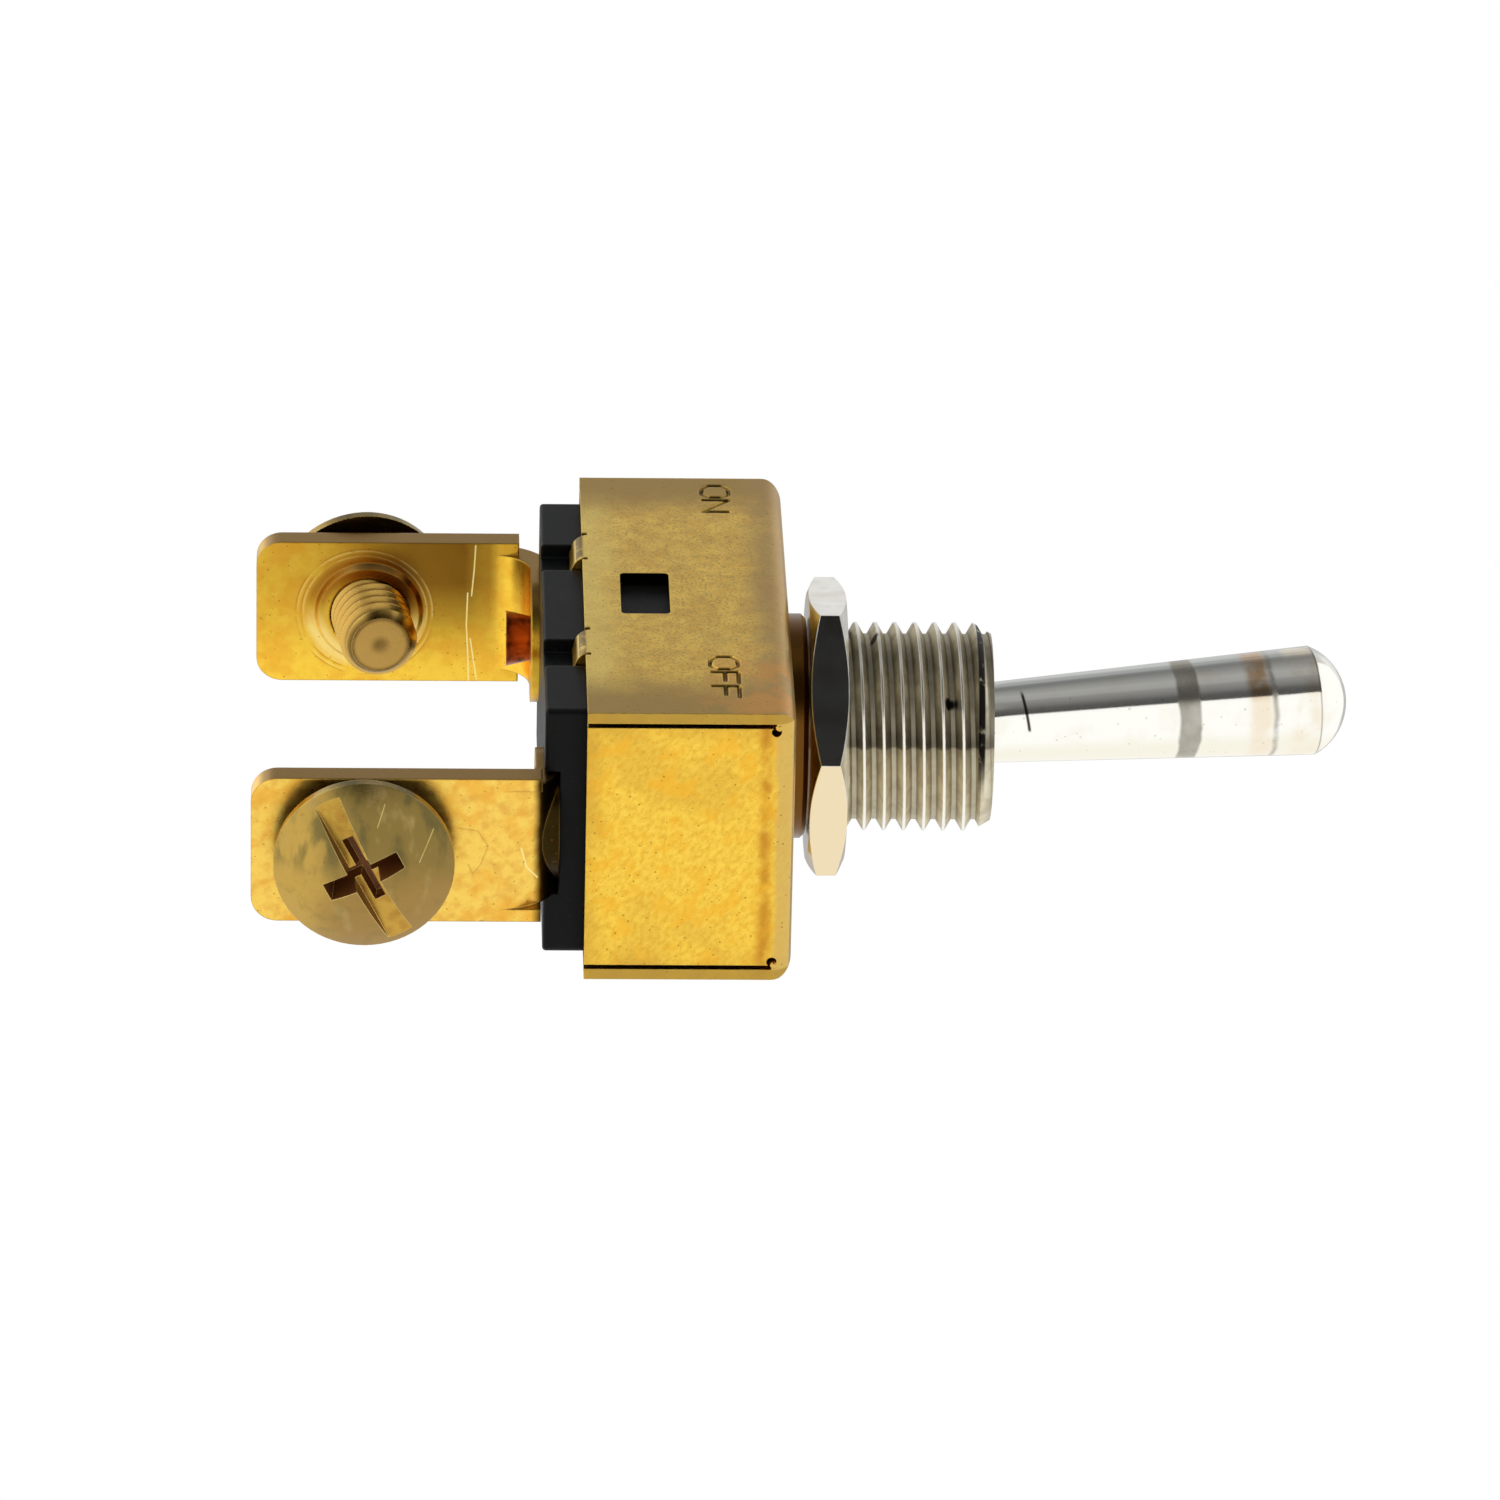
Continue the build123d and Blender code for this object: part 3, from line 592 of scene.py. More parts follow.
    def paint(self, graph: Graph) -> dict[str, object]:
        """Chooses between the looks by which way the sheet faces, and adds specks, worn edges and painted
        shade on the walls of the front's opening.
        """
        place = graph.place()
        x, y, z = graph.split(place)
        edge = graph.edge(self.edge_radius)
        _, side_y, _ = graph.split(graph.normal())
        broad = graph.step(graph.size(side_y), 0.35, 0.7)
        wander = graph.wander(place, 0.4, 4.0, 1.3)
        gold, gold_height = self.short_flaps(graph, place, wander)
        olive, olive_height = self.long_flaps(graph, place, wander)
        inner = self.half_width - self.sheet
        ends = graph.step(graph.size(y), inner - 0.04, inner + 0.06)
        rubbed = graph.scale(graph.noise(place, 0.9, 4.0), 0.55, 1.15)
        gold = graph.mix(graph.times(ends, rubbed), gold, self.flap_end)
        # Painted shade: the walls of the opening in the front are painted black.
        window_wall_shade = graph.times(
            ends,
            graph.step(y, 0.0, -1.0),
            graph.step(graph.size(x), self.window_half, self.window_half - 0.1),
            graph.band(z, *self.window_levels, 0.02),
            graph.less(1.0, broad),
        )
        colour = graph.coats(
            graph.mix(broad, gold, olive),
            (graph.specks(place, *self.specks), self.dirt, 0.55),
            (graph.times(edge["Edge"], graph.patches(place, 2.5, 2.0, 0.35, 0.6)), self.gold_pale, 0.5),
            # Painted shade on the walls of the opening.
            (window_wall_shade, self.black, 1.0),
        )
        rough = graph.scale(graph.noise(place, 0.5, 2.0), 0.26, 0.36)
        return self.look(graph, edge, colour, rough, graph.mix(broad, gold_height, olive_height))


@dataclass(frozen=True, kw_only=True)
class TabBrass(Finish):
    """Golden tab brass with brown sheared edges, painted shade, a pressed collar round the screw drawn as
    painted shade and highlight, and its own scratches.
    """

    edge_radius: float = 0.14
    grain: Pair = (0.6, 0.12)
    specks: Pair = (0.38, 0.78)
    hole: Triple
    shades: tuple[Pair, ...]
    shade_rows: tuple[Pair, ...] = ((-5.0, 1.0), (5.0, 1.0))
    collar: float = 0.0
    scratches: tuple[Mark, ...]
    dark_marks: tuple[Mark, ...] = ()
    gold: Colour = tone(250, 210, 96)
    gold_dark: Colour = tone(232, 180, 78)
    amber: Colour = tone(240, 170, 52)
    gold_pale: Colour = tone(255, 234, 150)
    gold_shade: Colour = tone(34, 22, 8)
    # Brown of the collar's painted shade, of its rings' painted shade lines, and of the dark marks.
    shade_and_mark_brown: Colour = tone(150, 92, 26)
    edge_brown: Colour = tone(158, 124, 64)
    dirt: Colour = tone(112, 74, 32)
    collar_band: Pair = (2.2, 3.25)
    # Rows of the collar's painted shade above the hole and of its painted highlight below it.
    collar_shade_rows: Pair = (0.8, -1.6)
    collar_highlight_rows: Pair = (-0.6, 1.4)
    ring_radii: Pair = (3.45, 3.75)
    line_width: float = 0.06

    def lines(self, graph: Graph, place: Socket, marks: tuple[Mark, ...]) -> object:
        """Mask of straight marks, or 0 where there are none."""
        found = 0.0
        for mark in marks:
            found = graph.most(found, graph.segment(place, mark, self.line_width))
        return found

    def pressed(self, graph: Graph, place: Socket) -> list[Coat]:
        """Coats of the collar round the hole, all painted light: painted shade above, a painted highlight
        below, and broken rings outside it, each a painted shade line beside a painted highlight.
        """
        _, y, z = graph.split(place)
        away = graph.span({1: graph.less(y, self.hole[1]), 2: graph.less(z, self.hole[2])})
        broken = graph.patches(place, 0.5, 3.0, 0.38, 0.56)
        ring = graph.band(away, *self.collar_band, 0.25)
        coats = [
            (graph.times(ring, graph.step(y, *self.collar_shade_rows)), self.shade_and_mark_brown, 0.75 * self.collar),
            (graph.times(ring, graph.step(y, *self.collar_highlight_rows)), self.gold_pale, 0.6 * self.collar),
        ]
        for radius in self.ring_radii:
            # Each ring is a painted shade line with a painted highlight just inside it.
            line = graph.times(graph.band(away, radius, radius + 0.05, 0.05), broken)
            ring_highlight = graph.times(graph.band(away, radius - 0.12, radius - 0.06, 0.06), broken)
            coats.append((line, self.shade_and_mark_brown, 0.6 * self.collar))
            coats.append((ring_highlight, self.gold_pale, 0.4 * self.collar))
        return coats

    def paint(self, graph: Graph) -> dict[str, object]:
        """Lays soft blotches, painted shade, the collar's painted shade and highlight, marks and brown edges
        over the gold.
        """
        place, edge, grain = self.ground(graph)
        _, y, z = graph.split(place)
        _, side_y, _ = graph.split(graph.normal())
        wander = graph.wander(place, 0.35, 3.0, 0.3)
        shade_along = graph.levels(graph.plus(z, wander), self.shades)
        shade_across = graph.levels(graph.plus(y, wander), self.shade_rows)
        bright = self.lines(graph, place, self.scratches)
        brown = graph.most(graph.step(graph.size(side_y), 0.6, 0.9), graph.scale(edge["Edge"], 0.0, 0.5))
        colour = graph.coats(
            graph.mix(graph.step(grain["Blotch"], 0.28, 0.62), self.gold_dark, self.gold),
            (graph.step(grain["Grain"], 0.46, 0.3), self.gold_dark, 0.4),
            (graph.patches(place, 0.7, 5.0, 0.46, 0.64), self.amber, 0.5),
            (graph.times(shade_along, shade_across), self.gold_shade, 1.0),
            *self.pressed(graph, place),
            (bright, self.gold_pale, 0.85),
            (self.lines(graph, place, self.dark_marks), self.shade_and_mark_brown, 0.28),
            (graph.specks(place, *self.specks), self.dirt, 0.5),
            (brown, self.edge_brown, 1.0),
        )
        rough = graph.scale(grain["Blotch"], 0.24, 0.36)
        return self.look(graph, edge, colour, rough, graph.less(grain["Grain"], bright))


@dataclass(frozen=True, kw_only=True)
class ScrewBrass(Finish):
    """Dull olive brass of a terminal screw, with painted light on the head, a golden slot, a recess darkened
    by painted shade and dirt, a painted shadow under the head and dirty thread roots.
    """

    grain: Pair = (0.8, 0.1)
    axis: Triple
    centre: Triple
    crown: float
    tip: float
    head_height: float
    crest: float
    root: float
    slot_depth: float = 1.3
    wall_reach: float = 4.5
    head_shade_rows: Pair = (-2.2, 2.0)
    highlight_levels: Pair = (-0.4, -3.4)
    dark_reflection_rows: Pair = (0.6, -1.4)
    streak_scale: Triple = (1.0, 0.35, 1.0)
    end_ring: Pair = (0.35, 0.1)
    end_middle: Pair = (0.7, 0.1)
    olive: Colour = tone(138, 116, 62)
    brass: Colour = tone(162, 130, 72)
    # Golden of the painted highlight on the head.
    golden: Colour = tone(190, 156, 76)
    thread: Colour = tone(206, 166, 84)
    # Dark brown of dirt in the thread roots and on the flat end, and of the painted shadow under the head.
    thread_dirt_and_shadow: Colour = tone(72, 50, 20)
    tip_brown: Colour = tone(186, 148, 78)
    slot_gold: Colour = tone(236, 186, 68)
    slot_dull: Colour = tone(204, 146, 44)
    rim_bright: Colour = tone(250, 224, 140)
    # Brown of the specks and of the painted shade on the slot's sides.
    brown: Colour = tone(116, 62, 20)
    # Brown of the painted shade and dirt deep in the recess.
    recess_shade_brown: Colour = tone(130, 72, 18)
    # Olive of the painted dark reflection on the head.
    olive_dark: Colour = tone(98, 90, 54)
    pale: Colour = tone(178, 152, 96)
    scratches: tuple[Mark, ...] = ((-3.79, 1.07, -2.72, 0.69), (-2.29, 3.6, -0.69, 2.88))
    scratch_width: float = 0.04

    def head(self, graph: Graph, offset: Socket, wander: Socket) -> Socket:
        """Colour of the head: darker olive on the -Y side and brown brass on the other as painted shade, a
        painted dark reflection in streaks on the -Y side, and a golden painted highlight towards the
        terminal's end.
        """
        _, y, z = graph.split(offset)
        streaky = graph.noise(graph.stretched(offset, self.streak_scale), 0.75, 3.0)
        # Painted dark reflection in streaks on the -Y side of the head.
        dark_reflection = graph.times(graph.step(streaky, 0.52, 0.38), graph.step(y, *self.dark_reflection_rows))
        marks = [graph.segment(offset, mark, self.scratch_width) for mark in self.scratches]
        return graph.coats(
            # Painted light: darker olive on the -Y side, and a golden painted highlight towards the
            # terminal's end.
            graph.mix(graph.step(graph.plus(y, wander), *self.head_shade_rows), self.olive, self.brass),
            (graph.step(graph.plus(z, wander), *self.highlight_levels), self.golden, 0.8),
            (dark_reflection, self.olive_dark, 0.75),
            (graph.step(streaky, 0.56, 0.68), self.pale, 0.6),
            *((mark, self.rim_bright, 0.45) for mark in marks),
        )

    def shank(self, graph: Graph, reach: Socket, flat_end: Socket, blotch: Socket) -> Socket:
        """Colour of the shank: dirty thread roots, and a stained flat end with a dark ring and middle.

        Args:
            graph: Graph of the material.
            reach: Distance from the axis.
            flat_end: Mask of the end.
            blotch: Noise that breaks the stain.

        Returns:
            The colour socket.
        """
        ring = graph.step(reach, *(self.root - gap for gap in self.end_ring))
        ringed = graph.most(ring, graph.step(reach, *self.end_middle))
        blemish = graph.times(ringed, graph.scale(blotch, 0.3, 0.9))
        return graph.coats(
            self.thread,
            (graph.step(reach, self.crest - 0.12, self.root), self.thread_dirt_and_shadow, 0.8),
            (flat_end, self.tip_brown, 1.0),
            (graph.times(flat_end, blemish), self.thread_dirt_and_shadow, 1.0),
        )

    def paint(self, graph: Graph) -> dict[str, object]:
        """Tells slot, recess and thread apart by depth below the crown and by the way they face."""
        place, edge, grain = self.ground(graph)
        blotch = grain["Blotch"]
        facing = graph.measure("DOT_PRODUCT", graph.normal(), self.axis)
        offset = graph.vector("SUBTRACT", place, self.centre)
        along = graph.measure("DOT_PRODUCT", offset, self.axis)
        depth = graph.less(self.crown, along)
        reach = graph.measure("LENGTH", graph.vector("SUBTRACT", offset, graph.scaled(self.axis, along)))
        backward = graph.step(facing, -0.9, -0.97)
        flat_end = graph.times(backward, graph.step(along, self.tip + 0.3, self.tip))
        head = self.head(graph, offset, graph.wander(place, 0.45, 4.0, 1.8))
        head = graph.coats(head, (graph.step(blotch, 0.5, 0.3), self.olive, 0.35))
        shank = self.shank(graph, reach, flat_end, blotch)
        inside = graph.times(
            graph.step(reach, self.wall_reach, self.wall_reach - 0.2),
            graph.step(depth, self.head_height - 0.05, self.head_height - 0.15),
        )
        # Painted shade and dirt: the slot's sides and the deep recess are darkened brown.
        shaded_wall = graph.times(inside, graph.step(facing, 0.6, 0.4))
        deep = graph.times(inside, graph.step(depth, self.slot_depth + 0.05, self.slot_depth + 0.25))
        floor = graph.band(depth, self.slot_depth - 0.05, self.slot_depth + 0.05, 0.04)
        gilt = graph.mix(graph.step(blotch, 0.3, 0.6), self.slot_dull, self.slot_gold)
        colour = graph.coats(
            graph.mix(graph.step(depth, self.head_height, self.head_height + 0.2), head, shank),
            # Painted shadow on the underside of the head, round the shank.
            (graph.times(backward, graph.step(reach, self.crest, self.crest + 0.2)), self.thread_dirt_and_shadow, 0.9),
            (shaded_wall, self.brown, 0.9),
            (graph.times(floor, graph.step(facing, 0.97, 0.99)), gilt, 0.9),
            (deep, self.recess_shade_brown, 0.95),
            (edge["Edge"], self.rim_bright, 0.7),
            (graph.specks(place, *self.specks), self.brown, 0.5),
        )
        # The painted shade and dirt in the recess make it rougher and less metallic.
        dirty = graph.most(graph.scale(shaded_wall, 0.0, 0.6), deep)
        rough = graph.plus(graph.scale(blotch, 0.22, 0.34), graph.scale(dirty, 0.0, 0.3))
        return self.look(graph, edge, colour, rough, grain["Grain"], graph.scale(dirty, 1.0, 0.15))


@dataclass(frozen=True, kw_only=True)
class PlainMetal(Finish):
    """Metal with one tone, fine grain and a few scratches."""

    colour: Colour
    shade: Colour
    smoothness: float = 0.7
    scratch_width: float = 0.015
    scratch_scale: Triple = (0.3, 3.0, 3.0)

    def paint(self, graph: Graph) -> dict[str, object]:
        """Mixes the tone and its shade by blotches and marks."""
        place, edge, grain = self.ground(graph)
        marks = graph.scratches(graph.stretched(place, self.scratch_scale), self.scratch_width)
        blotched = graph.mix(graph.step(grain["Blotch"], 0.35, 0.65), self.shade, self.colour)
        colour = graph.coats(blotched, (marks, self.shade, 0.5))
        middle = 1.0 - self.smoothness
        rough = graph.scale(grain["Blotch"], middle - 0.06, middle + 0.08)
        return self.look(graph, edge, colour, rough, grain["Grain"])


@dataclass(frozen=True)
class NickelPlate(Finish):
    """Nickel plate with faint brushing, with a warmer painted reflection on the facets that look down."""

    edge_radius: float = 0.07
    grain: Pair = (1.6, 0.1)
    relief: Pair = (0.003, 0.25)
    nickel: Colour = tone(244, 243, 236)
    nickel_shade: Colour = tone(226, 223, 212)
    warm_reflection: Colour = tone(240, 222, 184)

    def paint(self, graph: Graph) -> dict[str, object]:
        """Mixes two greys by soft blotches and lays a warmer painted reflection on the facets that look down.
        """
        _, edge, grain = self.ground(graph)
        _, down, _ = graph.split(graph.normal())
        colour = graph.coats(
            graph.mix(graph.step(grain["Blotch"], 0.3, 0.66), self.nickel_shade, self.nickel),
            # Painted reflection: facets facing +Y take a warmer tone.
            (graph.step(down, 0.08, 0.22), self.warm_reflection, 1.0),
            (edge["Edge"], self.nickel, 0.6),
        )
        return self.look(graph, edge, colour, graph.scale(grain["Blotch"], 0.1, 0.17), grain["Grain"])


@dataclass(frozen=True, kw_only=True)
class ThreadNickel(Finish):
    """Dull nickel on a thread: painted light and shade round it, dirty roots, bright crests, a black last
    groove, and painted shade with a painted brass reflection below the nut.
    """

    edge_radius: float = 0.06
    grain: Pair = (0.8, 0.09)
    crest: float
    root: float
    shoulder_level: float
    end_level: float
    spots: tuple[Triple, ...] = ((3.99, -3.33, 5.46), (0.2, -5.3, 1.43))
    spot_radius: float = 0.46
    last_groove: Pair = (0.85, 0.5)
    worn_rows: Pair = (2.5, -1.0)
    dull: Colour = tone(255, 246, 216)
    dull_shade: Colour = tone(226, 214, 186)
    light_line: Triple = (0.235, 0.972, 0.0)
    # Levels of painted light and shade round the thread, by how far it turns towards the light line.
    greys: tuple[Pair, ...] = (
        (-1.0, 0.66), (-0.85, 0.46), (-0.58, 0.71), (-0.28, 0.5), (-0.05, 0.26), (-0.006, 0.26),
        (0.02, 0.68), (0.28, 0.8), (1.0, 0.74),
    )
    bright: Colour = tone(248, 244, 234)
    dirt: Colour = tone(84, 74, 60)
    black: Colour = tone(26, 24, 22)
    # Brown of the painted shade with a painted brass reflection below the nut.
    brass_reflection_shade: Colour = tone(110, 74, 28)

    def paint(self, graph: Graph) -> dict[str, object]:
        """Lays painted light and shade by how far each point of the thread turns towards the light line, and
        dirt by radius and level.
        """
        place, edge, grain = self.ground(graph)
        x, y, z = graph.split(place)
        radius = graph.span({0: x, 1: y})
        dull = graph.mix(graph.step(grain["Blotch"], 0.32, 0.62), self.dull_shade, self.dull)
        # Painted light and shade: each point's turn towards the light line sets its grey.
        turned = graph.math("DIVIDE", graph.measure("DOT_PRODUCT", place, self.light_line), radius)
        roots = graph.step(radius, self.root + 0.3, self.root)
        roots = graph.times(roots, graph.scale(grain["Blotch"], 0.3, 1.0))
        last = graph.band(z, *(self.end_level - gap for gap in self.last_groove), 0.05)
        worn = graph.times(graph.step(y, *self.worn_rows), graph.patches(place, 1.6, 3.0, 0.3, 0.45))
        # Below the nut the thread is painted as shade with a brass reflection.
        bare = graph.step(z, self.shoulder_level + 0.1, self.shoulder_level - 0.1)
        away = [graph.measure("DISTANCE", place, spot) for spot in self.spots]
        colour = graph.coats(
            graph.mix(1.0, dull, graph.levels(turned, self.greys), "MULTIPLY"),
            (roots, self.dirt, 0.5),
            (graph.step(radius, self.crest - 0.07, self.crest - 0.02), self.bright, 1.0),
            (graph.times(last, worn), self.black, 1.0),
            *((graph.step(gap, self.spot_radius, self.spot_radius * 0.6), self.black, 1.0) for gap in away),
            (bare, self.brass_reflection_shade, 1.0),
        )
        flank = graph.times(graph.step(radius, self.crest - 0.02, self.crest - 0.12), graph.less(1.0, bare))
        return self.look(graph, edge, colour, graph.scale(flank, 0.28, 0.48), grain["Grain"])


@dataclass(frozen=True, kw_only=True)
class ChromePlate(Finish):
    """Bright chrome on a bat lever, with stain bands round it where it was handled, painted reflections by
    the way it faces and a painted shade ring at its rim.
    """

    edge_radius: float = 0.1
    relief: Pair = (0.003, 0.3)
    specks: Pair = (0.55, 0.62)
    pivot: Triple
    direction: Triple
    # Upward direction by which the painted reflections and the lit and shaded copies of the brown stain are
    # laid.
    upward: Triple = (-0.448, -0.894, 0.0)
    rim: float = 20.7
    grey_band: Pair = (12.95, 14.1)
    brown_band: Pair = (16.75, 18.0)
    grey_line: Pair = (18.05, 18.3)
    crack: float = 4.75
    crack_width: float = 0.16
    crack_span: Pair = (-2.05, -0.41)
    crack_slope: float = 0.12
    crack_side: Pair = (-0.9, -0.6)
    handled: float = 1.6
    upper_reflection_facing: Pair = (0.68, 0.86)
    lower_reflection_facing: Pair = (-0.45, -0.8)
    chrome: Colour = tone(255, 254, 247)
    grey_stain: Colour = tone(162, 157, 144)
    brown_stain: Colour = tone(246, 234, 212)
    # Cream of the pale patches and of the painted reflection on faces that look against the upward direction.
    cream: Colour = tone(247, 243, 226)
    upper_reflection_grey: Colour = tone(198, 200, 197)
    brown_stain_shaded: Colour = tone(206, 172, 136)
    pit: Colour = tone(150, 144, 132)
    # Dark of the crack and of the painted shade at the rim.
    dark: Colour = tone(70, 64, 56)

    def paint(self, graph: Graph) -> dict[str, object]:
        """Places each stain by its distance from the pivot along the lever, and paints reflections by how far
        the surface faces the upward direction.
        """
        place = graph.place()
        x, y, _ = graph.split(place)
        edge = graph.edge(self.edge_radius)
        reach = graph.measure("DOT_PRODUCT", graph.vector("SUBTRACT", place, self.pivot), self.direction)
        along = graph.plus(reach, graph.wander(place, 0.6, 3.0, 0.2))
        patchy = graph.noise(place, 0.7, 4.0)
        # How far the surface faces the upward direction; the painted reflections go by it.
        height = graph.measure("DOT_PRODUCT", graph.normal(), self.upward)
        grey = graph.times(graph.band(along, *self.grey_band, 0.1), graph.scale(patchy, 0.6, 1.2))
        brown = graph.times(graph.band(along, *self.brown_band, 0.3), graph.step(patchy, 0.2, 0.6))
        # One brown stain in a lit copy on faces that look down and a shaded copy on faces that look up.
        brown_stain_lit_and_shaded = graph.mix(graph.step(height, 0.0, 0.3), self.brown_stain, self.brown_stain_shaded)
        line = graph.times(graph.band(along, *self.grey_line, 0.12), graph.step(patchy, 0.3, 0.55))
        touched = graph.band(along, self.rim - self.handled, self.rim, 0.3)
        touched = graph.times(touched, graph.step(patchy, 0.36, 0.6))
        slant = graph.less(reach, graph.times(y, self.crack_slope))
        split = graph.times(
            graph.band(slant, self.crack, self.crack + self.crack_width, 0.05),
            graph.band(y, *self.crack_span, 0.1),
            graph.step(x, *self.crack_side),
        )
        # Painted shade at the rim: its edges darkened and a thin dark ring just inside it.
        rounded = graph.times(edge["Edge"], graph.step(reach, self.rim - 1.0, self.rim - 0.5))
        rounded = graph.most(rounded, graph.band(reach, self.rim - 0.08, self.rim - 0.02, 0.04))
        colour = graph.coats(
            self.chrome,
            (graph.step(patchy, 0.48, 0.7), self.cream, 0.5),
            # Painted reflections: grey on the faces that look along the upward direction and cream on those
            # that look against it.
            (graph.step(height, *self.upper_reflection_facing), self.upper_reflection_grey, 1.0),
            (graph.step(height, *self.lower_reflection_facing), self.cream, 0.9),
            (grey, self.grey_stain, 1.0),
            (brown, brown_stain_lit_and_shaded, 1.0),
            (graph.specks(place, *self.specks), self.pit, 0.4),
            (line, self.grey_stain, 0.7),
            (touched, self.brown_stain, 0.7),
            (split, self.dark, 1.0),
            (rounded, self.dark, 0.6),
        )
        return self.look(graph, edge, colour, graph.scale(graph.most(grey, line), 0.1, 0.3), patchy)


@dataclass(frozen=True, kw_only=True)
class MouldedPlastic(Finish):
    """Moulded plastic or pressed sheet: one tone with a fine grain and scuffs."""

    edge_radius: float = 0.15
    grain: Pair = (1.8, 0.12)
    relief: Pair = (0.012, 0.5)
    colour: Colour
    scuff: Colour
    gloss: float = 0.6
    specular: float = 0.5
    scratch_width: float = 0.02
    scratch_scale: Triple = (0.4, 2.0, 2.0)
    scratch_turn: Triple = (0, 20, 0)

    def paint(self, graph: Graph) -> dict[str, object]:
        """Greys the tone at its edges and in faint scuffs."""
        place, edge, grain = self.ground(graph)
        drawn = graph.stretched(place, self.scratch_scale, self.scratch_turn)
        marks = graph.scratches(drawn, self.scratch_width)
        scuffed = graph.most(graph.scale(edge["Edge"], 0.0, 0.45), graph.scale(marks, 0.0, 0.25))
        scuffed = graph.most(scuffed, graph.scale(graph.step(grain["Blotch"], 0.5, 0.75), 0.0, 0.18))
        colour = graph.mix(scuffed, self.colour, self.scuff)
        middle = 1.0 - self.gloss
        rough = graph.scale(grain["Blotch"], middle - 0.08, middle + 0.1)
        plain = self.look(graph, edge, colour, rough, grain["Grain"], 0.0)
        return plain | {"Specular IOR Level": self.specular}


def polar(angle: np.ndarray, radius: object, level: object) -> np.ndarray:
    """Points round the Z axis.

    Args:
        angle: Angles in radians.
        radius: Distances from the axis.
        level: Heights along it.

    Returns:
        Array of the shape that the three spread to, with the coordinates last.
    """
    parts = np.broadcast_arrays(radius * np.cos(angle), radius * np.sin(angle), level)
    return np.stack(parts, axis=-1)


def grid_faces(rows: int, columns: int, ring: bool) -> np.ndarray:
    """Quads between the points of a grid stored row by row.

    Args:
        rows: Points along the path.
        columns: Points in each row.
        ring: True where each row closes on itself.

    Returns:
        Four point numbers for each quad.
    """
    row, column = np.meshgrid(np.arange(rows - 1), np.arange(columns if ring else columns - 1), indexing="ij")
    after = (column + 1) % columns
    below, above = row * columns, (row + 1) * columns
    return np.stack([below + column, below + after, above + after, above + column], axis=-1).reshape(-1, 4)


def linked(name: str, data: bpy.types.ID) -> bpy.types.Object:
    """Makes an object of its data and links it into the scene at the origin."""
    piece = bpy.data.objects.new(name, data)
    bpy.context.scene.collection.objects.link(piece)
    return piece


def reshape(mesh: bpy.types.Mesh, change: Callable[[bmesh.types.BMesh], object]) -> None:
    """Changes a mesh in place by a bmesh operation."""
    shape = bmesh.new()
    shape.from_mesh(mesh)
    change(shape)
    shape.to_mesh(mesh)
    shape.free()


def mesh_object(name: str, points: np.ndarray, faces: list) -> bpy.types.Object:
    """Makes an object of points in metres with its faces turned outwards.

    Args:
        name: Name of the object and its mesh.
        points: Array of points, with the coordinates last.
        faces: Point numbers of each face.

    Returns:
        The object, linked into the scene at the origin.
    """
    mesh = bpy.data.meshes.new(name)
    mesh.from_pydata(points.reshape(-1, 3).tolist(), [], faces)
    reshape(mesh, lambda shape: bmesh.ops.recalc_face_normals(shape, faces=shape.faces))
    return linked(name, mesh)


def tube(name: str, rings: np.ndarray) -> bpy.types.Object:
    """Closed solid of rings of points along a path, with a flat face at each end.

    Args:
        name: Name of the object.
        rings: Array of rings, of points in a ring, of coordinates in metres.

    Returns:
        The capped tube as an object.
    """
    rows, columns, _ = rings.shape
    faces = grid_faces(rows, columns, True).tolist()
    faces += [list(range(columns)), list(range((rows - 1) * columns, rows * columns))]
    return mesh_object(name, rings, faces)


def merged_copy(node: str, name: str) -> bpy.types.Object:
    """Copies a node's solid with its loose triangles joined at their corners.

    Args:
        node: Name of the node.
        name: Name of the copy.

    Returns:
        The copy, linked into the scene at the origin.
    """
    mesh = bpy.data.meshes.new(name)
    shape = bmesh.new()
    shape.from_mesh(frame["nodes"][node].data)
    bmesh.ops.remove_doubles(shape, verts=shape.verts, dist=CORNER_GAP * MM)
    shape.to_mesh(mesh)
    shape.free()
    if mesh.has_custom_normals:
        mesh.attributes.remove(mesh.attributes["custom_normal"])
    return linked(name, mesh)


def reaches(mesh: bpy.types.Mesh, origin: Vector, axis: Vector) -> np.ndarray:
    """How far each point of a mesh lies from an origin along an axis, in metres."""
    points = np.empty(len(mesh.vertices) * 3)
    mesh.vertices.foreach_get("co", points)
    return (points.reshape(-1, 3) - np.array(origin)) @ np.array(axis)


class Operation(Enum):
    """Ways to combine a piece with a closed tool."""

    JOIN = "UNION"
    CUT = "DIFFERENCE"


def combine(piece: bpy.types.Object, tool: bpy.types.Object, operation: Operation) -> None:
    """Joins a closed tool to a piece or takes it out of it, for good, and deletes the tool."""
    modifier = piece.modifiers.new("Combine", "BOOLEAN")
    modifier.object = tool
    modifier.operation = operation.value
    modifier.solver = "EXACT"
    bpy.context.view_layer.update()
    result = bpy.data.meshes.new_from_object(piece.evaluated_get(bpy.context.evaluated_depsgraph_get()))
    piece.modifiers.clear()
    piece.data = result
    bpy.data.objects.remove(tool)


def join_flats(shape: bmesh.types.BMesh) -> None:
    """Joins neighbouring faces that lie in one plane, so that slivers don't spoil the shading."""
    bmesh.ops.dissolve_limit(shape, angle_limit=radians(FLAT_LIMIT), verts=shape.verts, edges=shape.edges)


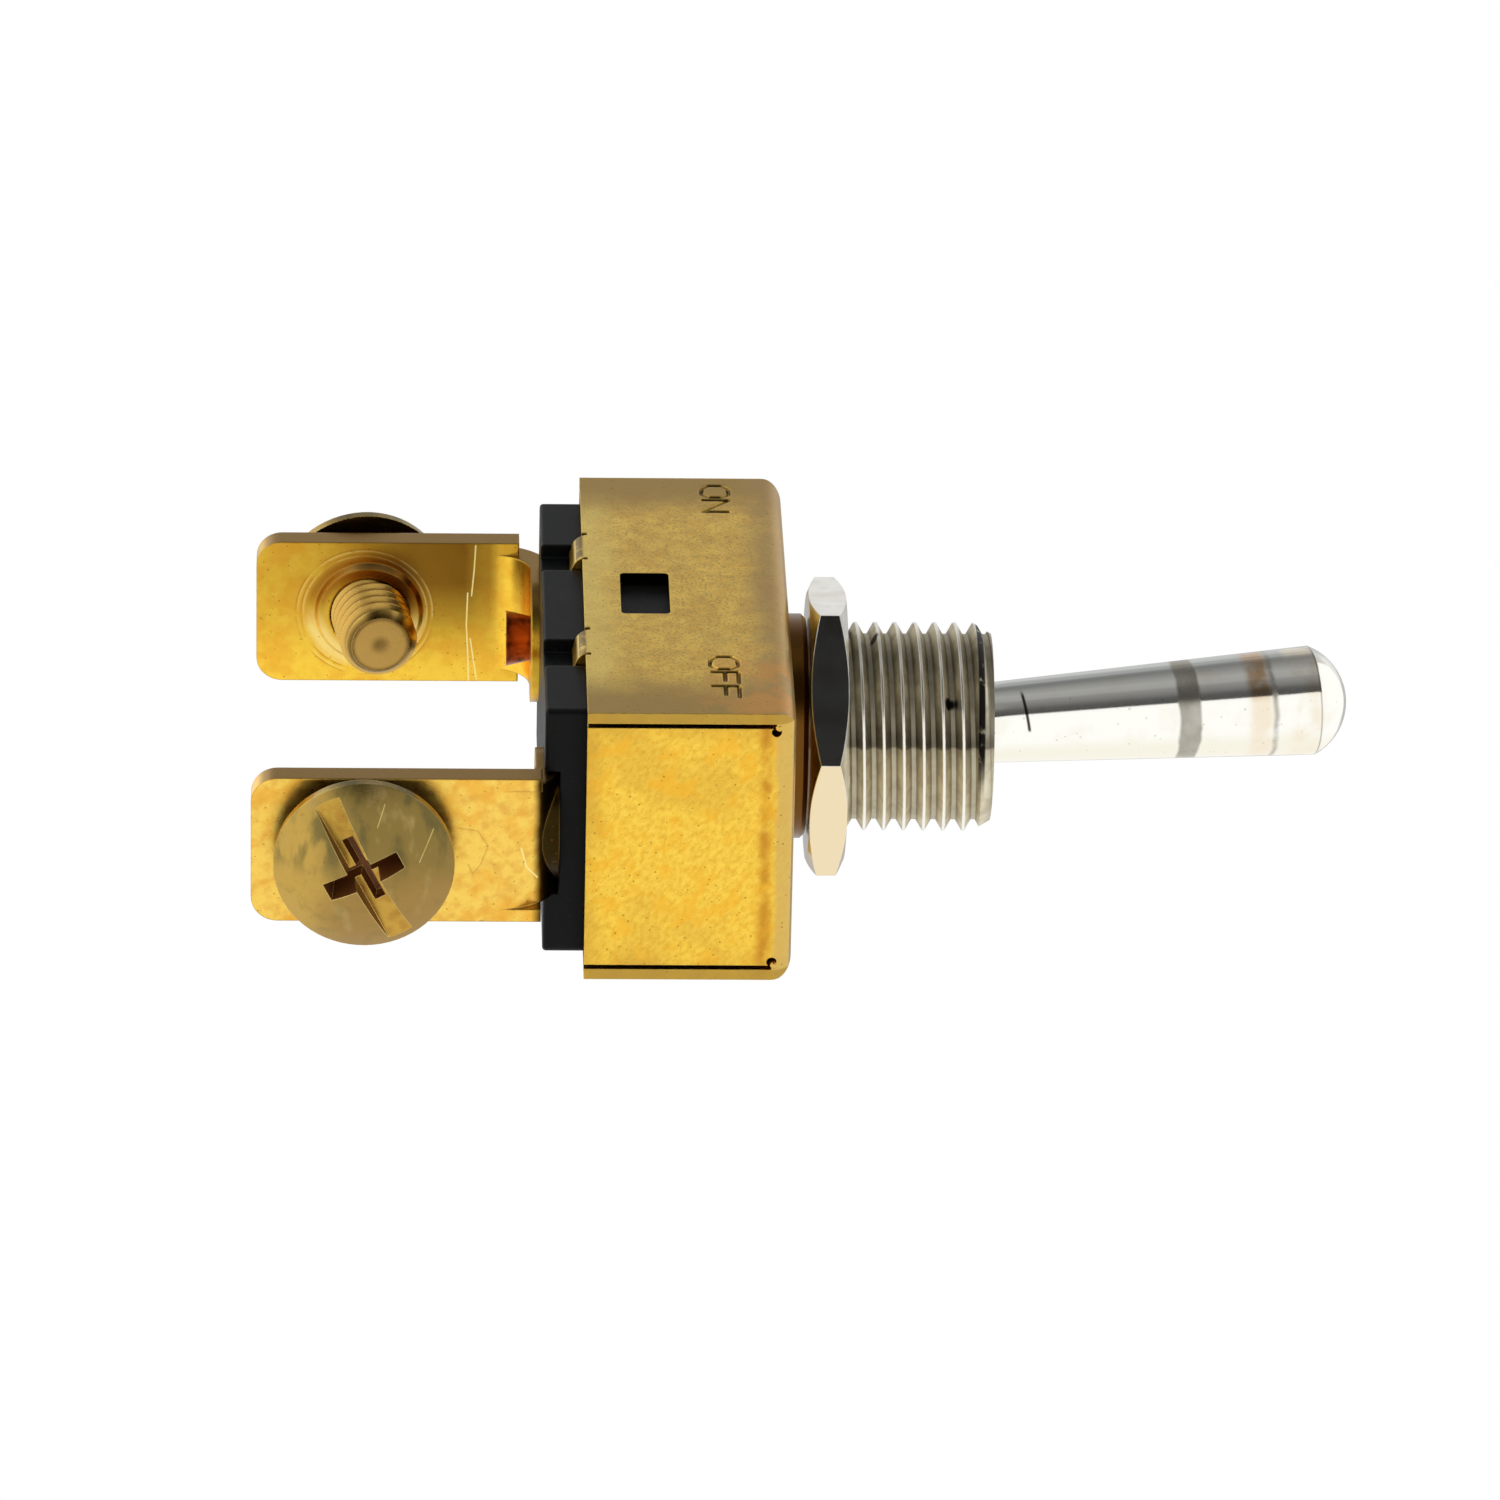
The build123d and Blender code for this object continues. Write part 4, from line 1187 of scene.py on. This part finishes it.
def stand_for(
    piece: bpy.types.Object, node: str, material: bpy.types.Material, crease: float = 32.0
) -> None:
    """Shades a finished copy smoothly, dresses it and lets it stand for its node.

    Args:
        piece: The finished copy.
        node: The node that it stands for.
        material: The finish.
        crease: Angle in degrees over which an edge stays sharp.
    """
    reshape(piece.data, join_flats)
    piece.data.materials.clear()
    piece.data.materials.append(material)
    piece.data.shade_smooth()
    piece.data.set_sharp_from_angle(angle=radians(crease))
    even = piece.modifiers.new("Even faces", "WEIGHTED_NORMAL")
    even.keep_sharp = True
    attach(piece, frame["nodes"][node]["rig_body"])
    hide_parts(node)
    LOG.info("%s stands for %s with %d faces", piece.name, node, len(piece.data.polygons))


def paint_node(node: str, material: bpy.types.Material) -> None:
    """Gives a node that stays as it is its finish."""
    mesh = frame["nodes"][node].data
    mesh.materials.clear()
    mesh.materials.append(material)
    LOG.info("%s keeps its solid", node)


@dataclass(frozen=True)
class ThreadGroove:
    """A V groove wound round an axis as a right-hand thread."""

    radius: float
    depth: float
    pitch: float
    start: float
    end: float
    crest: float = 0.13
    phase: float = 0.0
    clear: float = 0.08
    steps: int = 56
    flank: float = 30.0

    def cutter(self, placing: Matrix) -> bpy.types.Object:
        """Makes the groove as a solid.

        The middle of the groove climbs by one pitch a turn. At each step four points stand in the plane
        through the axis: two just outside the crest and two at the root, with sloping flanks between them.

        Args:
            placing: Where the axis goes, in metres; the thread is wound round its Z.

        Returns:
            The groove's solid.
        """
        turns = (self.end - self.start) / self.pitch
        height = np.linspace(self.start, self.end, int(turns * self.steps))
        angle = 2 * pi * height / self.pitch + radians(self.phase)
        half = (self.pitch - self.crest) / 2
        slope = tan(radians(self.flank))
        out, root = self.radius + self.clear, self.radius - self.depth
        wide, narrow = half + self.clear * slope, half - self.depth * slope
        radius = np.array([out, root, root, out])
        lift = np.array([-wide, -narrow, narrow, wide])
        groove = tube("thread_groove", polar(angle[:, None], radius, height[:, None] + lift) * MM)
        groove.data.transform(placing)
        return groove


class Glyph(Enum):
    """Stamped letters: width in millimetres, and strokes in shares of that width and of the height."""

    O = (1.45, (((0.28, 0.0), (0.72, 0.0), (1.0, 0.25), (1.0, 0.75), (0.72, 1.0), (0.28, 1.0), (0.0, 0.75),
                 (0.0, 0.25), (0.28, 0.0)),))
    N = (1.45, (((0.0, 0.0), (0.0, 1.0)), ((0.0, 1.0), (1.0, 0.0)), ((1.0, 0.0), (1.0, 1.0))))
    F = (1.3, (((0.0, 0.0), (0.0, 1.0)), ((0.0, 1.0), (1.0, 1.0)), ((0.0, 0.52), (0.8, 0.52))))


@dataclass
class Case:
    """The folded case with its stamped words."""

    letter_height: float = 1.46
    letter_gap: float = 0.35
    stroke: float = 0.16
    stroke_depth: float = 0.17
    stroke_point: float = 0.1
    on_start: Pair = (-13.36, -7.44)
    off_start: Pair = (7.56, -7.5)
    bulge_place: Triple = (14.12, 6.97, -4.02)
    bulge_size: Triple = (0.26, 0.25, 0.25)
    bulge_rings: int = 9
    bulge_sides: int = 12
    bulge_cap: float = 0.15

    def corner_bulge(self, side_x: int, side_y: int) -> bpy.types.Object:
        """Makes the bulge of pressed sheet at the end of a corner slit.

        Level rings of an ellipsoid are stacked along Z, from just below its upper pole to just above its
        lower one.

        Args:
            side_x: 1 or -1 for the short flap.
            side_y: 1 or -1 for the long flap.

        Returns:
            The bulge's solid.
        """
        fall = np.linspace(self.bulge_cap, pi - self.bulge_cap, self.bulge_rings)[:, None]
        turn = np.arange(self.bulge_sides) * 2 * pi / self.bulge_sides
        ball = polar(turn, np.sin(fall), np.cos(fall))
        centre = np.array(self.bulge_place) * np.array([side_x, side_y, 1.0])
        return tube("corner_bulge", (centre + ball * np.array(self.bulge_size)) * MM)

    def stroke_cutter(self, start: np.ndarray, stop: np.ndarray, face: float) -> bpy.types.Object:
        """Makes one stroke of a letter as a solid.

        A diamond section, as wide as the stroke, is carried along the line and shrinks to a point a stroke's
        width past each end.

        Args:
            start: X and Z of one end, in millimetres.
            stop: X and Z of the other end.
            face: Y of the face that is stamped.

        Returns:
            The stroke's solid.
        """
        along = (stop - start) / np.linalg.norm(stop - start)
        across = np.array([-along[1], along[0]])
        middle = np.array([start - along * self.stroke, start, stop, stop + along * self.stroke])
        grow = np.array([self.stroke_point, 1.0, 1.0, self.stroke_point])
        turn = np.arange(4) * pi / 2
        flat = middle[:, None] + grow[:, None, None] * self.stroke * np.cos(turn)[None, :, None] * across
        deep = face + grow[:, None] * self.stroke_depth * np.sin(turn)
        return tube("letter_stroke", np.stack((flat[..., 0], deep, flat[..., 1]), axis=-1) * MM)

    def stamp(self, piece: bpy.types.Object, word: str, start: Pair, face: float) -> None:
        """Cuts a word into the front, letter by letter."""
        corner = np.array(start)
        for letter in word:
            width, strokes = Glyph[letter].value
            for line in strokes:
                points = corner + np.array(line) * np.array([width, self.letter_height])
                for begin, end in zip(points[:-1], points[1:]):
                    combine(piece, self.stroke_cutter(begin, end, face), Operation.CUT)
            corner = corner + np.array([width + self.letter_gap, 0.0])

    def build(self) -> bpy.types.Object:
        """Copies the case, stamps ON and OFF into its front and presses a bulge at the end of each slit."""
        low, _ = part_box("case")
        piece = merged_copy("case", "brass_case")
        self.stamp(piece, "ON", self.on_start, low.y / MM)
        self.stamp(piece, "OFF", self.off_start, low.y / MM)
        for side_x, side_y in product((-1, 1), repeat=2):
            combine(piece, self.corner_bulge(side_x, side_y), Operation.JOIN)
        return piece

    def dress(self) -> None:
        """Builds the case and gives it its brass."""
        stand_for(self.build(), "case", CaseBrass("case_brass").material())


@dataclass
class BushingAndNut:
    """The threaded bushing and its hexagon nut."""

    crest_radius: float = 5.556
    thread_depth: float = 0.6
    thread_pitch: float = 1.058
    thread_phase: float = -130.0
    thread_run: Pair = (0.16, 6.84)
    groove_start: float = -1.0
    sleeve_bore: float = 4.75
    sleeve_over: float = 0.004
    sleeve_steps: int = 128
    nut_crease: float = 20.0

    def sleeve(self) -> bpy.types.Object:
        """Makes a plain sleeve over the solid's thread rings: a rectangle turned round the axis."""
        outer = self.crest_radius + self.sleeve_over
        radius = np.array([self.sleeve_bore, outer, outer, self.sleeve_bore])
        angle = np.linspace(0, 2 * pi, self.sleeve_steps, endpoint=False)
        points = polar(angle, radius[:, None], np.repeat(self.thread_run, 2)[:, None])
        faces = grid_faces(len(radius) + 1, self.sleeve_steps, True) % (len(radius) * self.sleeve_steps)
        return mesh_object("thread_sleeve", points * MM, faces.tolist())

    def bushing(self) -> bpy.types.Object:
        """Fills the thread's rings and cuts the real helix in their place."""
        _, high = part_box("bushing")
        piece = merged_copy("bushing", "threaded_bushing")
        combine(piece, self.sleeve(), Operation.JOIN)
        groove = ThreadGroove(
            radius=self.crest_radius,
            depth=self.thread_depth,
            pitch=self.thread_pitch,
            start=self.groove_start,
            end=high.z / MM + self.thread_pitch,
            phase=self.thread_phase,
        )
        combine(piece, groove.cutter(Matrix.Identity(4)), Operation.CUT)
        return piece

    def dress(self) -> None:
        """Builds the bushing and plates both pieces."""
        nut_low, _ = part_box("panel_nut")
        _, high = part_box("bushing")
        plate = ThreadNickel(
            "bushing_nickel",
            crest=self.crest_radius,
            root=self.crest_radius - self.thread_depth,
            shoulder_level=nut_low.z / MM,
            end_level=high.z / MM,
        )
        stand_for(self.bushing(), "bushing", plate.material())
        nut = NickelPlate("nut_nickel").material()
        stand_for(merged_copy("panel_nut", "hex_nut"), "panel_nut", nut, self.nut_crease)


@dataclass
class Lever:
    """The chromed bat lever on its hinge."""

    tilt: float = 9.5
    crease: float = 15.0

    def dress(self) -> None:
        """Copies the lever and chromes it, with stains placed from the hinge."""
        pivot = in_mm(joint("lever_swing")["pos_m"])
        lean = radians(self.tilt)
        chrome = ChromePlate("lever_chrome", pivot=pivot, direction=(-sin(lean), 0.0, cos(lean)))
        bat = merged_copy("toggle_lever", "bat_lever")
        stand_for(bat, "toggle_lever", chrome.material(), self.crease)


@dataclass
class Terminal:
    """One screw terminal: the folded tab, its rivet and its screw."""

    name: str
    tab: TabBrass
    screw_radius: float = 2.083
    screw_pitch: float = 0.794
    screw_depth: float = 0.44
    screw_crest: float = 0.1
    screw_clear: float = 0.06
    screw_steps: int = 40
    head_thickness: float = 2.1

    def screw_line(self) -> tuple[Vector, Vector, float, float]:
        """Finds how the screw lies.

        Returns:
            Its joint's place in metres, its outward direction, and its lowest and highest reach along that
            from the joint, in millimetres.
        """
        turn = joint(f"{self.name}_screw_turn")
        centre, axis = Vector(turn["pos_m"]), Vector(turn["axis"]).normalized()
        reach = reaches(frame["nodes"][f"{self.name}_screw"].data, centre, axis) / MM
        return centre, axis, float(reach.min()), float(reach.max())

    def screw(self) -> bpy.types.Object:
        """Copies the screw and cuts its thread from under the head to the tip."""
        centre, axis, tip, crown = self.screw_line()
        turn = Vector((0, 0, 1)).rotation_difference(-axis).to_matrix().to_4x4()
        groove = ThreadGroove(
            radius=self.screw_radius,
            depth=self.screw_depth,
            pitch=self.screw_pitch,
            start=self.head_thickness + self.screw_pitch,
            end=crown - tip + self.screw_pitch,
            crest=self.screw_crest,
            clear=self.screw_clear,
            steps=self.screw_steps,
        )
        piece = merged_copy(f"{self.name}_screw", f"{self.name}_terminal_screw")
        placing = Matrix.Translation(centre + axis * crown * MM) @ turn
        combine(piece, groove.cutter(placing), Operation.CUT)
        return piece

    def dress(self, rivet: bpy.types.Material) -> None:
        """Builds the screw and dresses the three pieces, the rivet with the given finish."""
        centre, axis, tip, crown = self.screw_line()
        brass = ScrewBrass(
            f"{self.name}_screw_brass",
            axis=tuple(axis),
            centre=in_mm(centre),
            crown=crown,
            tip=tip,
            head_height=self.head_thickness,
            crest=self.screw_radius,
            root=self.screw_radius - self.screw_depth,
        )
        stand_for(self.screw(), f"{self.name}_screw", brass.material())
        tab = merged_copy(f"{self.name}_terminal", f"{self.name}_tab")
        stand_for(tab, f"{self.name}_terminal", self.tab.material())
        clinch = merged_copy(f"{self.name}_rivet", f"{self.name}_clinch")
        stand_for(clinch, f"{self.name}_rivet", rivet)


@dataclass
class Mechanism:
    """The base and the pieces inside it."""

    spring_seat: float = 3.0
    coil_crease: float = 60.0
    base_crease: float = 40.0

    def spring(self, steel: bpy.types.Material) -> None:
        """Copies the plunger's spring, dresses it and gives it a mesh of its own; its length back from its
        seat in the lever is measured but not used.

        Args:
            steel: Finish of the spring.
        """
        slide = joint("plunger_slide")
        axis = Vector(slide["axis"]).normalized()
        seat = Vector(joint("lever_swing")["pos_m"]) - axis * self.spring_seat * MM
        coil = merged_copy("plunger_spring", "coil_spring")
        stand_for(coil, "plunger_spring", steel, self.coil_crease)
        length = -float(reaches(coil.data, seat, axis).min())
        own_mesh(coil)

    def dress(self) -> None:
        """Dresses the base and every hidden piece."""
        black = MouldedPlastic("base_phenolic", colour=tone(8, 9, 9), scuff=tone(34, 36, 36), specular=0.13)
        stand_for(merged_copy("base", "moulded_base"), "base", black.material(), self.base_crease)
        strip = PlainMetal("strip_brass", colour=tone(224, 176, 96), shade=tone(188, 138, 70))
        silver = PlainMetal("contact_silver", colour=tone(226, 224, 216), shade=tone(186, 182, 172))
        fibre = MouldedPlastic(
            "fibre_sheet",
            grain=(1.8, 0.3),
            colour=tone(112, 62, 38),
            scuff=tone(150, 96, 64),
            gloss=0.35,
        )
        nylon = MouldedPlastic(
            "plunger_nylon",
            grain=(1.8, 0.2),
            colour=tone(222, 214, 190),
            scuff=tone(240, 236, 222),
            gloss=0.55,
        )
        hidden = {
            strip: ("rocker", "load_strip", "supply_strip"),
            silver: ("moving_contact", "fixed_contact"),
            fibre: ("fibre_insulator",),
            nylon: ("plunger",),
        }
        for finish, nodes in hidden.items():
            material = finish.material()
            for node in nodes:
                paint_node(node, material)
        steel = PlainMetal("spring_steel", colour=tone(190, 190, 190), shade=tone(150, 148, 144)).material()
        paint_node("lever_pin", steel)
        self.spring(steel)


@dataclass
class Studio:
    """Camera, floor, grey cards and light, all set for the photograph's view."""

    camera_place: Triple = (533.964, -267.201, -25.991)
    camera_target: Triple = (0.105, 1.420, -4.975)
    camera_roll: float = 0.322
    camera_clip: Pair = (10.0, 10000.0)
    lens: float = 268.588
    floor_drop: float = 28.0
    floor_radius: float = 120.0
    floor_hole: float = 0.02
    floor_rings: int = 12
    floor_sides: int = 96
    floor_grey: float = 0.9
    floor_glow: float = 0.35
    floor_fade: float = 0.45
    card_radius: float = 420.0
    card_half: float = 350.0
    card_steps: int = 80
    card_greys: tuple[Pair, ...] = (
        (17, 0.06), (33, 0.1), (46, 0.24), (58, 0.34), (72, 0.36), (90, 0.26), (104, 0.25), (116, 0.38),
        (122, 0.6), (132, 0.6), (146, 0.88), (152, 0.78), (164, 0.76), (172, 0.5), (188, 0.5), (196, 0.9),
    )
    dark_radius: float = 410.0
    dark_levels: Pair = (-90.0, 52.0)
    dark_greys: tuple[Pair, ...] = ((9.0, 0.016), (62.0, 0.016))
    world_light: float = 0.75
    lamp_place: Triple = (-120.0, -360.0, 120.0)
    lamp_size: float = 300.0
    lamp_power: float = 1.2

    def camera(self) -> None:
        """Puts the camera where the photograph was taken, with the lever pointing to the right."""
        place, target = Vector(self.camera_place), Vector(self.camera_target)
        back = (place - target).normalized()
        right = Vector((0, 0, 1)) - back * back.z
        right.normalize()
        up = back.cross(right)
        roll = radians(self.camera_roll)
        rolled_right = right * cos(roll) + up * sin(roll)
        rolled_up = up * cos(roll) - right * sin(roll)
        data = bpy.data.cameras.new("photo_camera")
        data.lens = self.lens
        data.clip_start, data.clip_end = (c * MM for c in self.camera_clip)
        camera = linked("photo_camera", data)
        turn = Matrix((rolled_right, rolled_up, back)).transposed().to_4x4()
        camera.matrix_world = Matrix.Translation(place * MM) @ turn
        bpy.context.scene.camera = camera

    def floor(self) -> None:
        """Lays a round pale floor below the terminals: rings of points whose edge fades out."""
        low, _ = CAD_BOX
        angle = np.linspace(0, 2 * pi, self.floor_sides, endpoint=False)
        radius = np.linspace(self.floor_hole, 1.0, self.floor_rings)[:, None] * self.floor_radius * MM
        points = polar(angle, radius, low.z - self.floor_drop * MM)
        faces = grid_faces(self.floor_rings, self.floor_sides, True).tolist()
        faces.append(list(range(self.floor_sides)))
        floor = mesh_object("floor", points, faces)
        material, graph, shader = new_material("pale_floor")
        x, y, _ = graph.split(graph.place())
        fade = graph.step(graph.span({0: x, 1: y}), self.floor_radius, self.floor_radius * self.floor_fade)
        look = {
            "Base Color": (self.floor_grey, self.floor_grey, self.floor_grey, 1.0),
            "Roughness": 0.9,
            "Emission Color": WHITE,
            "Emission Strength": graph.times(self.shows_white(graph), self.floor_glow),
            "Alpha": fade,
        }
        for name, value in look.items():
            graph.feed(shader.inputs[name], value)
        floor.data.materials.append(material)

    @staticmethod
    def shows_white(graph: Graph) -> Socket:
        """1 for rays from the camera, off metal and through glass, and 0 for light that falls on things."""
        rays = graph.add("LightPath").outputs
        seen = graph.most(rays["Is Camera Ray"], rays["Is Glossy Ray"])
        return graph.most(seen, rays["Is Transmission Ray"])

    def card(self, name: str, radius: float, levels: Pair, stops: tuple[Pair, ...]) -> None:
        """Stands a curved card beside the camera's line of sight.

        The card is a stretch of an upright cylinder round the object. Angles are counted upwards in the
        picture from the camera's direction.

        Args:
            name: Name of the card.
            radius: Radius of the cylinder.
            levels: Lower and upper edge.
            stops: Angle and grey of each stop, from one end of the card to the other.
        """
        toward = Vector(self.camera_place) - Vector(self.camera_target)
        turned = np.linspace(stops[0][0], stops[-1][0], self.card_steps)
        angle = np.arctan2(toward.y, toward.x) - np.radians(turned)
        points = polar(angle[:, None], radius, np.array(levels)) * MM
        card = mesh_object(name, points, grid_faces(len(angle), 2, False).tolist())
        attribute = card.data.attributes.new("turned", "FLOAT", "POINT")
        attribute.data.foreach_set("value", np.repeat(turned, 2).astype(np.float32))
        material, graph, shader = new_material(name)
        graph.tree.nodes.remove(shader)
        grey = graph.levels(graph.add("Attribute", attribute_name="turned").outputs["Fac"], stops)
        light = graph.add("Emission", {"Color": grey, "Strength": 1.0})
        graph.feed(graph.tree.nodes["Material Output"].inputs["Surface"], light.outputs[0])
        card.data.materials.append(material)
        card.visible_camera = False
        card.visible_shadow = False
        card.visible_diffuse = False

    def light(self) -> None:
        """White surroundings, and one soft lamp above for the dull pieces."""
        scene = bpy.context.scene
        scene.view_settings.view_transform = "Standard"
        world = bpy.data.worlds.new("white_studio")
        scene.world = world
        world.use_nodes = True
        graph = Graph(world.node_tree)
        background = world.node_tree.nodes["Background"]
        graph.feed(background.inputs["Color"], WHITE)
        graph.feed(background.inputs["Strength"], graph.scale(self.shows_white(graph), self.world_light, 1.0))
        data = bpy.data.lights.new("soft_lamp", "AREA")
        data.energy = self.lamp_power
        data.size = self.lamp_size * MM
        lamp = linked("soft_lamp", data)
        lamp.location = [c * MM for c in self.lamp_place]
        lamp.rotation_mode = "QUATERNION"
        lamp.rotation_quaternion = lamp.location.to_track_quat("Z", "Y")
        lamp.visible_glossy = False

    def build(self) -> None:
        """Sets up all that is round the object, with a small dark card in front of the grey one."""
        self.camera()
        self.floor()
        self.card("grey_card", self.card_radius, (-self.card_half, self.card_half), self.card_greys)
        self.card("dark_card", self.dark_radius, self.dark_levels, self.dark_greys)
        self.light()


def tab_finishes() -> dict[str, TabBrass]:
    """Finishes of the tabs, by the name of their terminal: load is the near one, supply the far one."""
    hole = in_mm(joint("load_screw_turn")["pos_m"])
    loop = ((-1.33, -20.66), (-1.17, -19.65), (-0.28, -19.09), (0.79, -19.48), (1.36, -19.88), (0.79, -20.14))
    near = TabBrass(
        "near_tab_brass",
        hole=hole,
        shades=((-32.0, 0.0), (-16.75, 0.0), (-16.35, 0.97), (-14.0, 0.99)),
        gold_shade=tone(20, 13, 5),
        dark_marks=tuple((*start, *stop) for start, stop in zip(loop[:-1], loop[1:])),
        scratches=((-0.04, -17.36, 1.1, -17.09), (1.1, -17.09, 1.91, -16.5)),
    )
    far = TabBrass(
        "far_tab_brass",
        hole=hole,
        shades=((-32.0, 0.35), (-28.5, 0.45), (-23.2, 0.95), (-20.2, 1.0), (-19.4, 0.8), (-18.8, 0.72),
                (-18.25, 0.2), (-17.7, 0.15), (-17.3, 0.35), (-16.8, 0.2), (-14.0, 0.1)),
        shade_rows=((-4.7, 1.0), (-1.8, 1.0), (0.4, 0.66), (1.8, 0.3), (3.0, 0.08), (4.7, 0.0)),
        gold=tone(255, 210, 72),
        gold_dark=tone(244, 194, 60),
        gold_shade=tone(128, 90, 26),
        collar=1.0,
        scratches=((-4.03, -19.59, -2.6, -19.66), (-2.6, -19.66, -1.01, -19.79), (-1.17, -20.0, 0.76, -20.06),
                   (0.76, -20.06, 2.44, -19.97), (2.44, -19.97, 4.13, -19.91), (1.6, -19.84, 4.05, -19.49)),
    )
    return {"load": near, "supply": far}


def main() -> None:
    """Builds and dresses each sub-assembly in order."""
    logging.basicConfig(level=logging.INFO, format="%(message)s")
    SharedEffects().build()
    Case().dress()
    BushingAndNut().dress()
    Lever().dress()
    copper = PlainMetal("rivet_copper", colour=tone(176, 84, 44), shade=tone(104, 44, 22), smoothness=0.72)
    rivet = copper.material()
    for name, tab in tab_finishes().items():
        Terminal(name, tab).dress(rivet)
    Mechanism().dress()
    Studio().build()


if __name__ == "__main__":
    main()
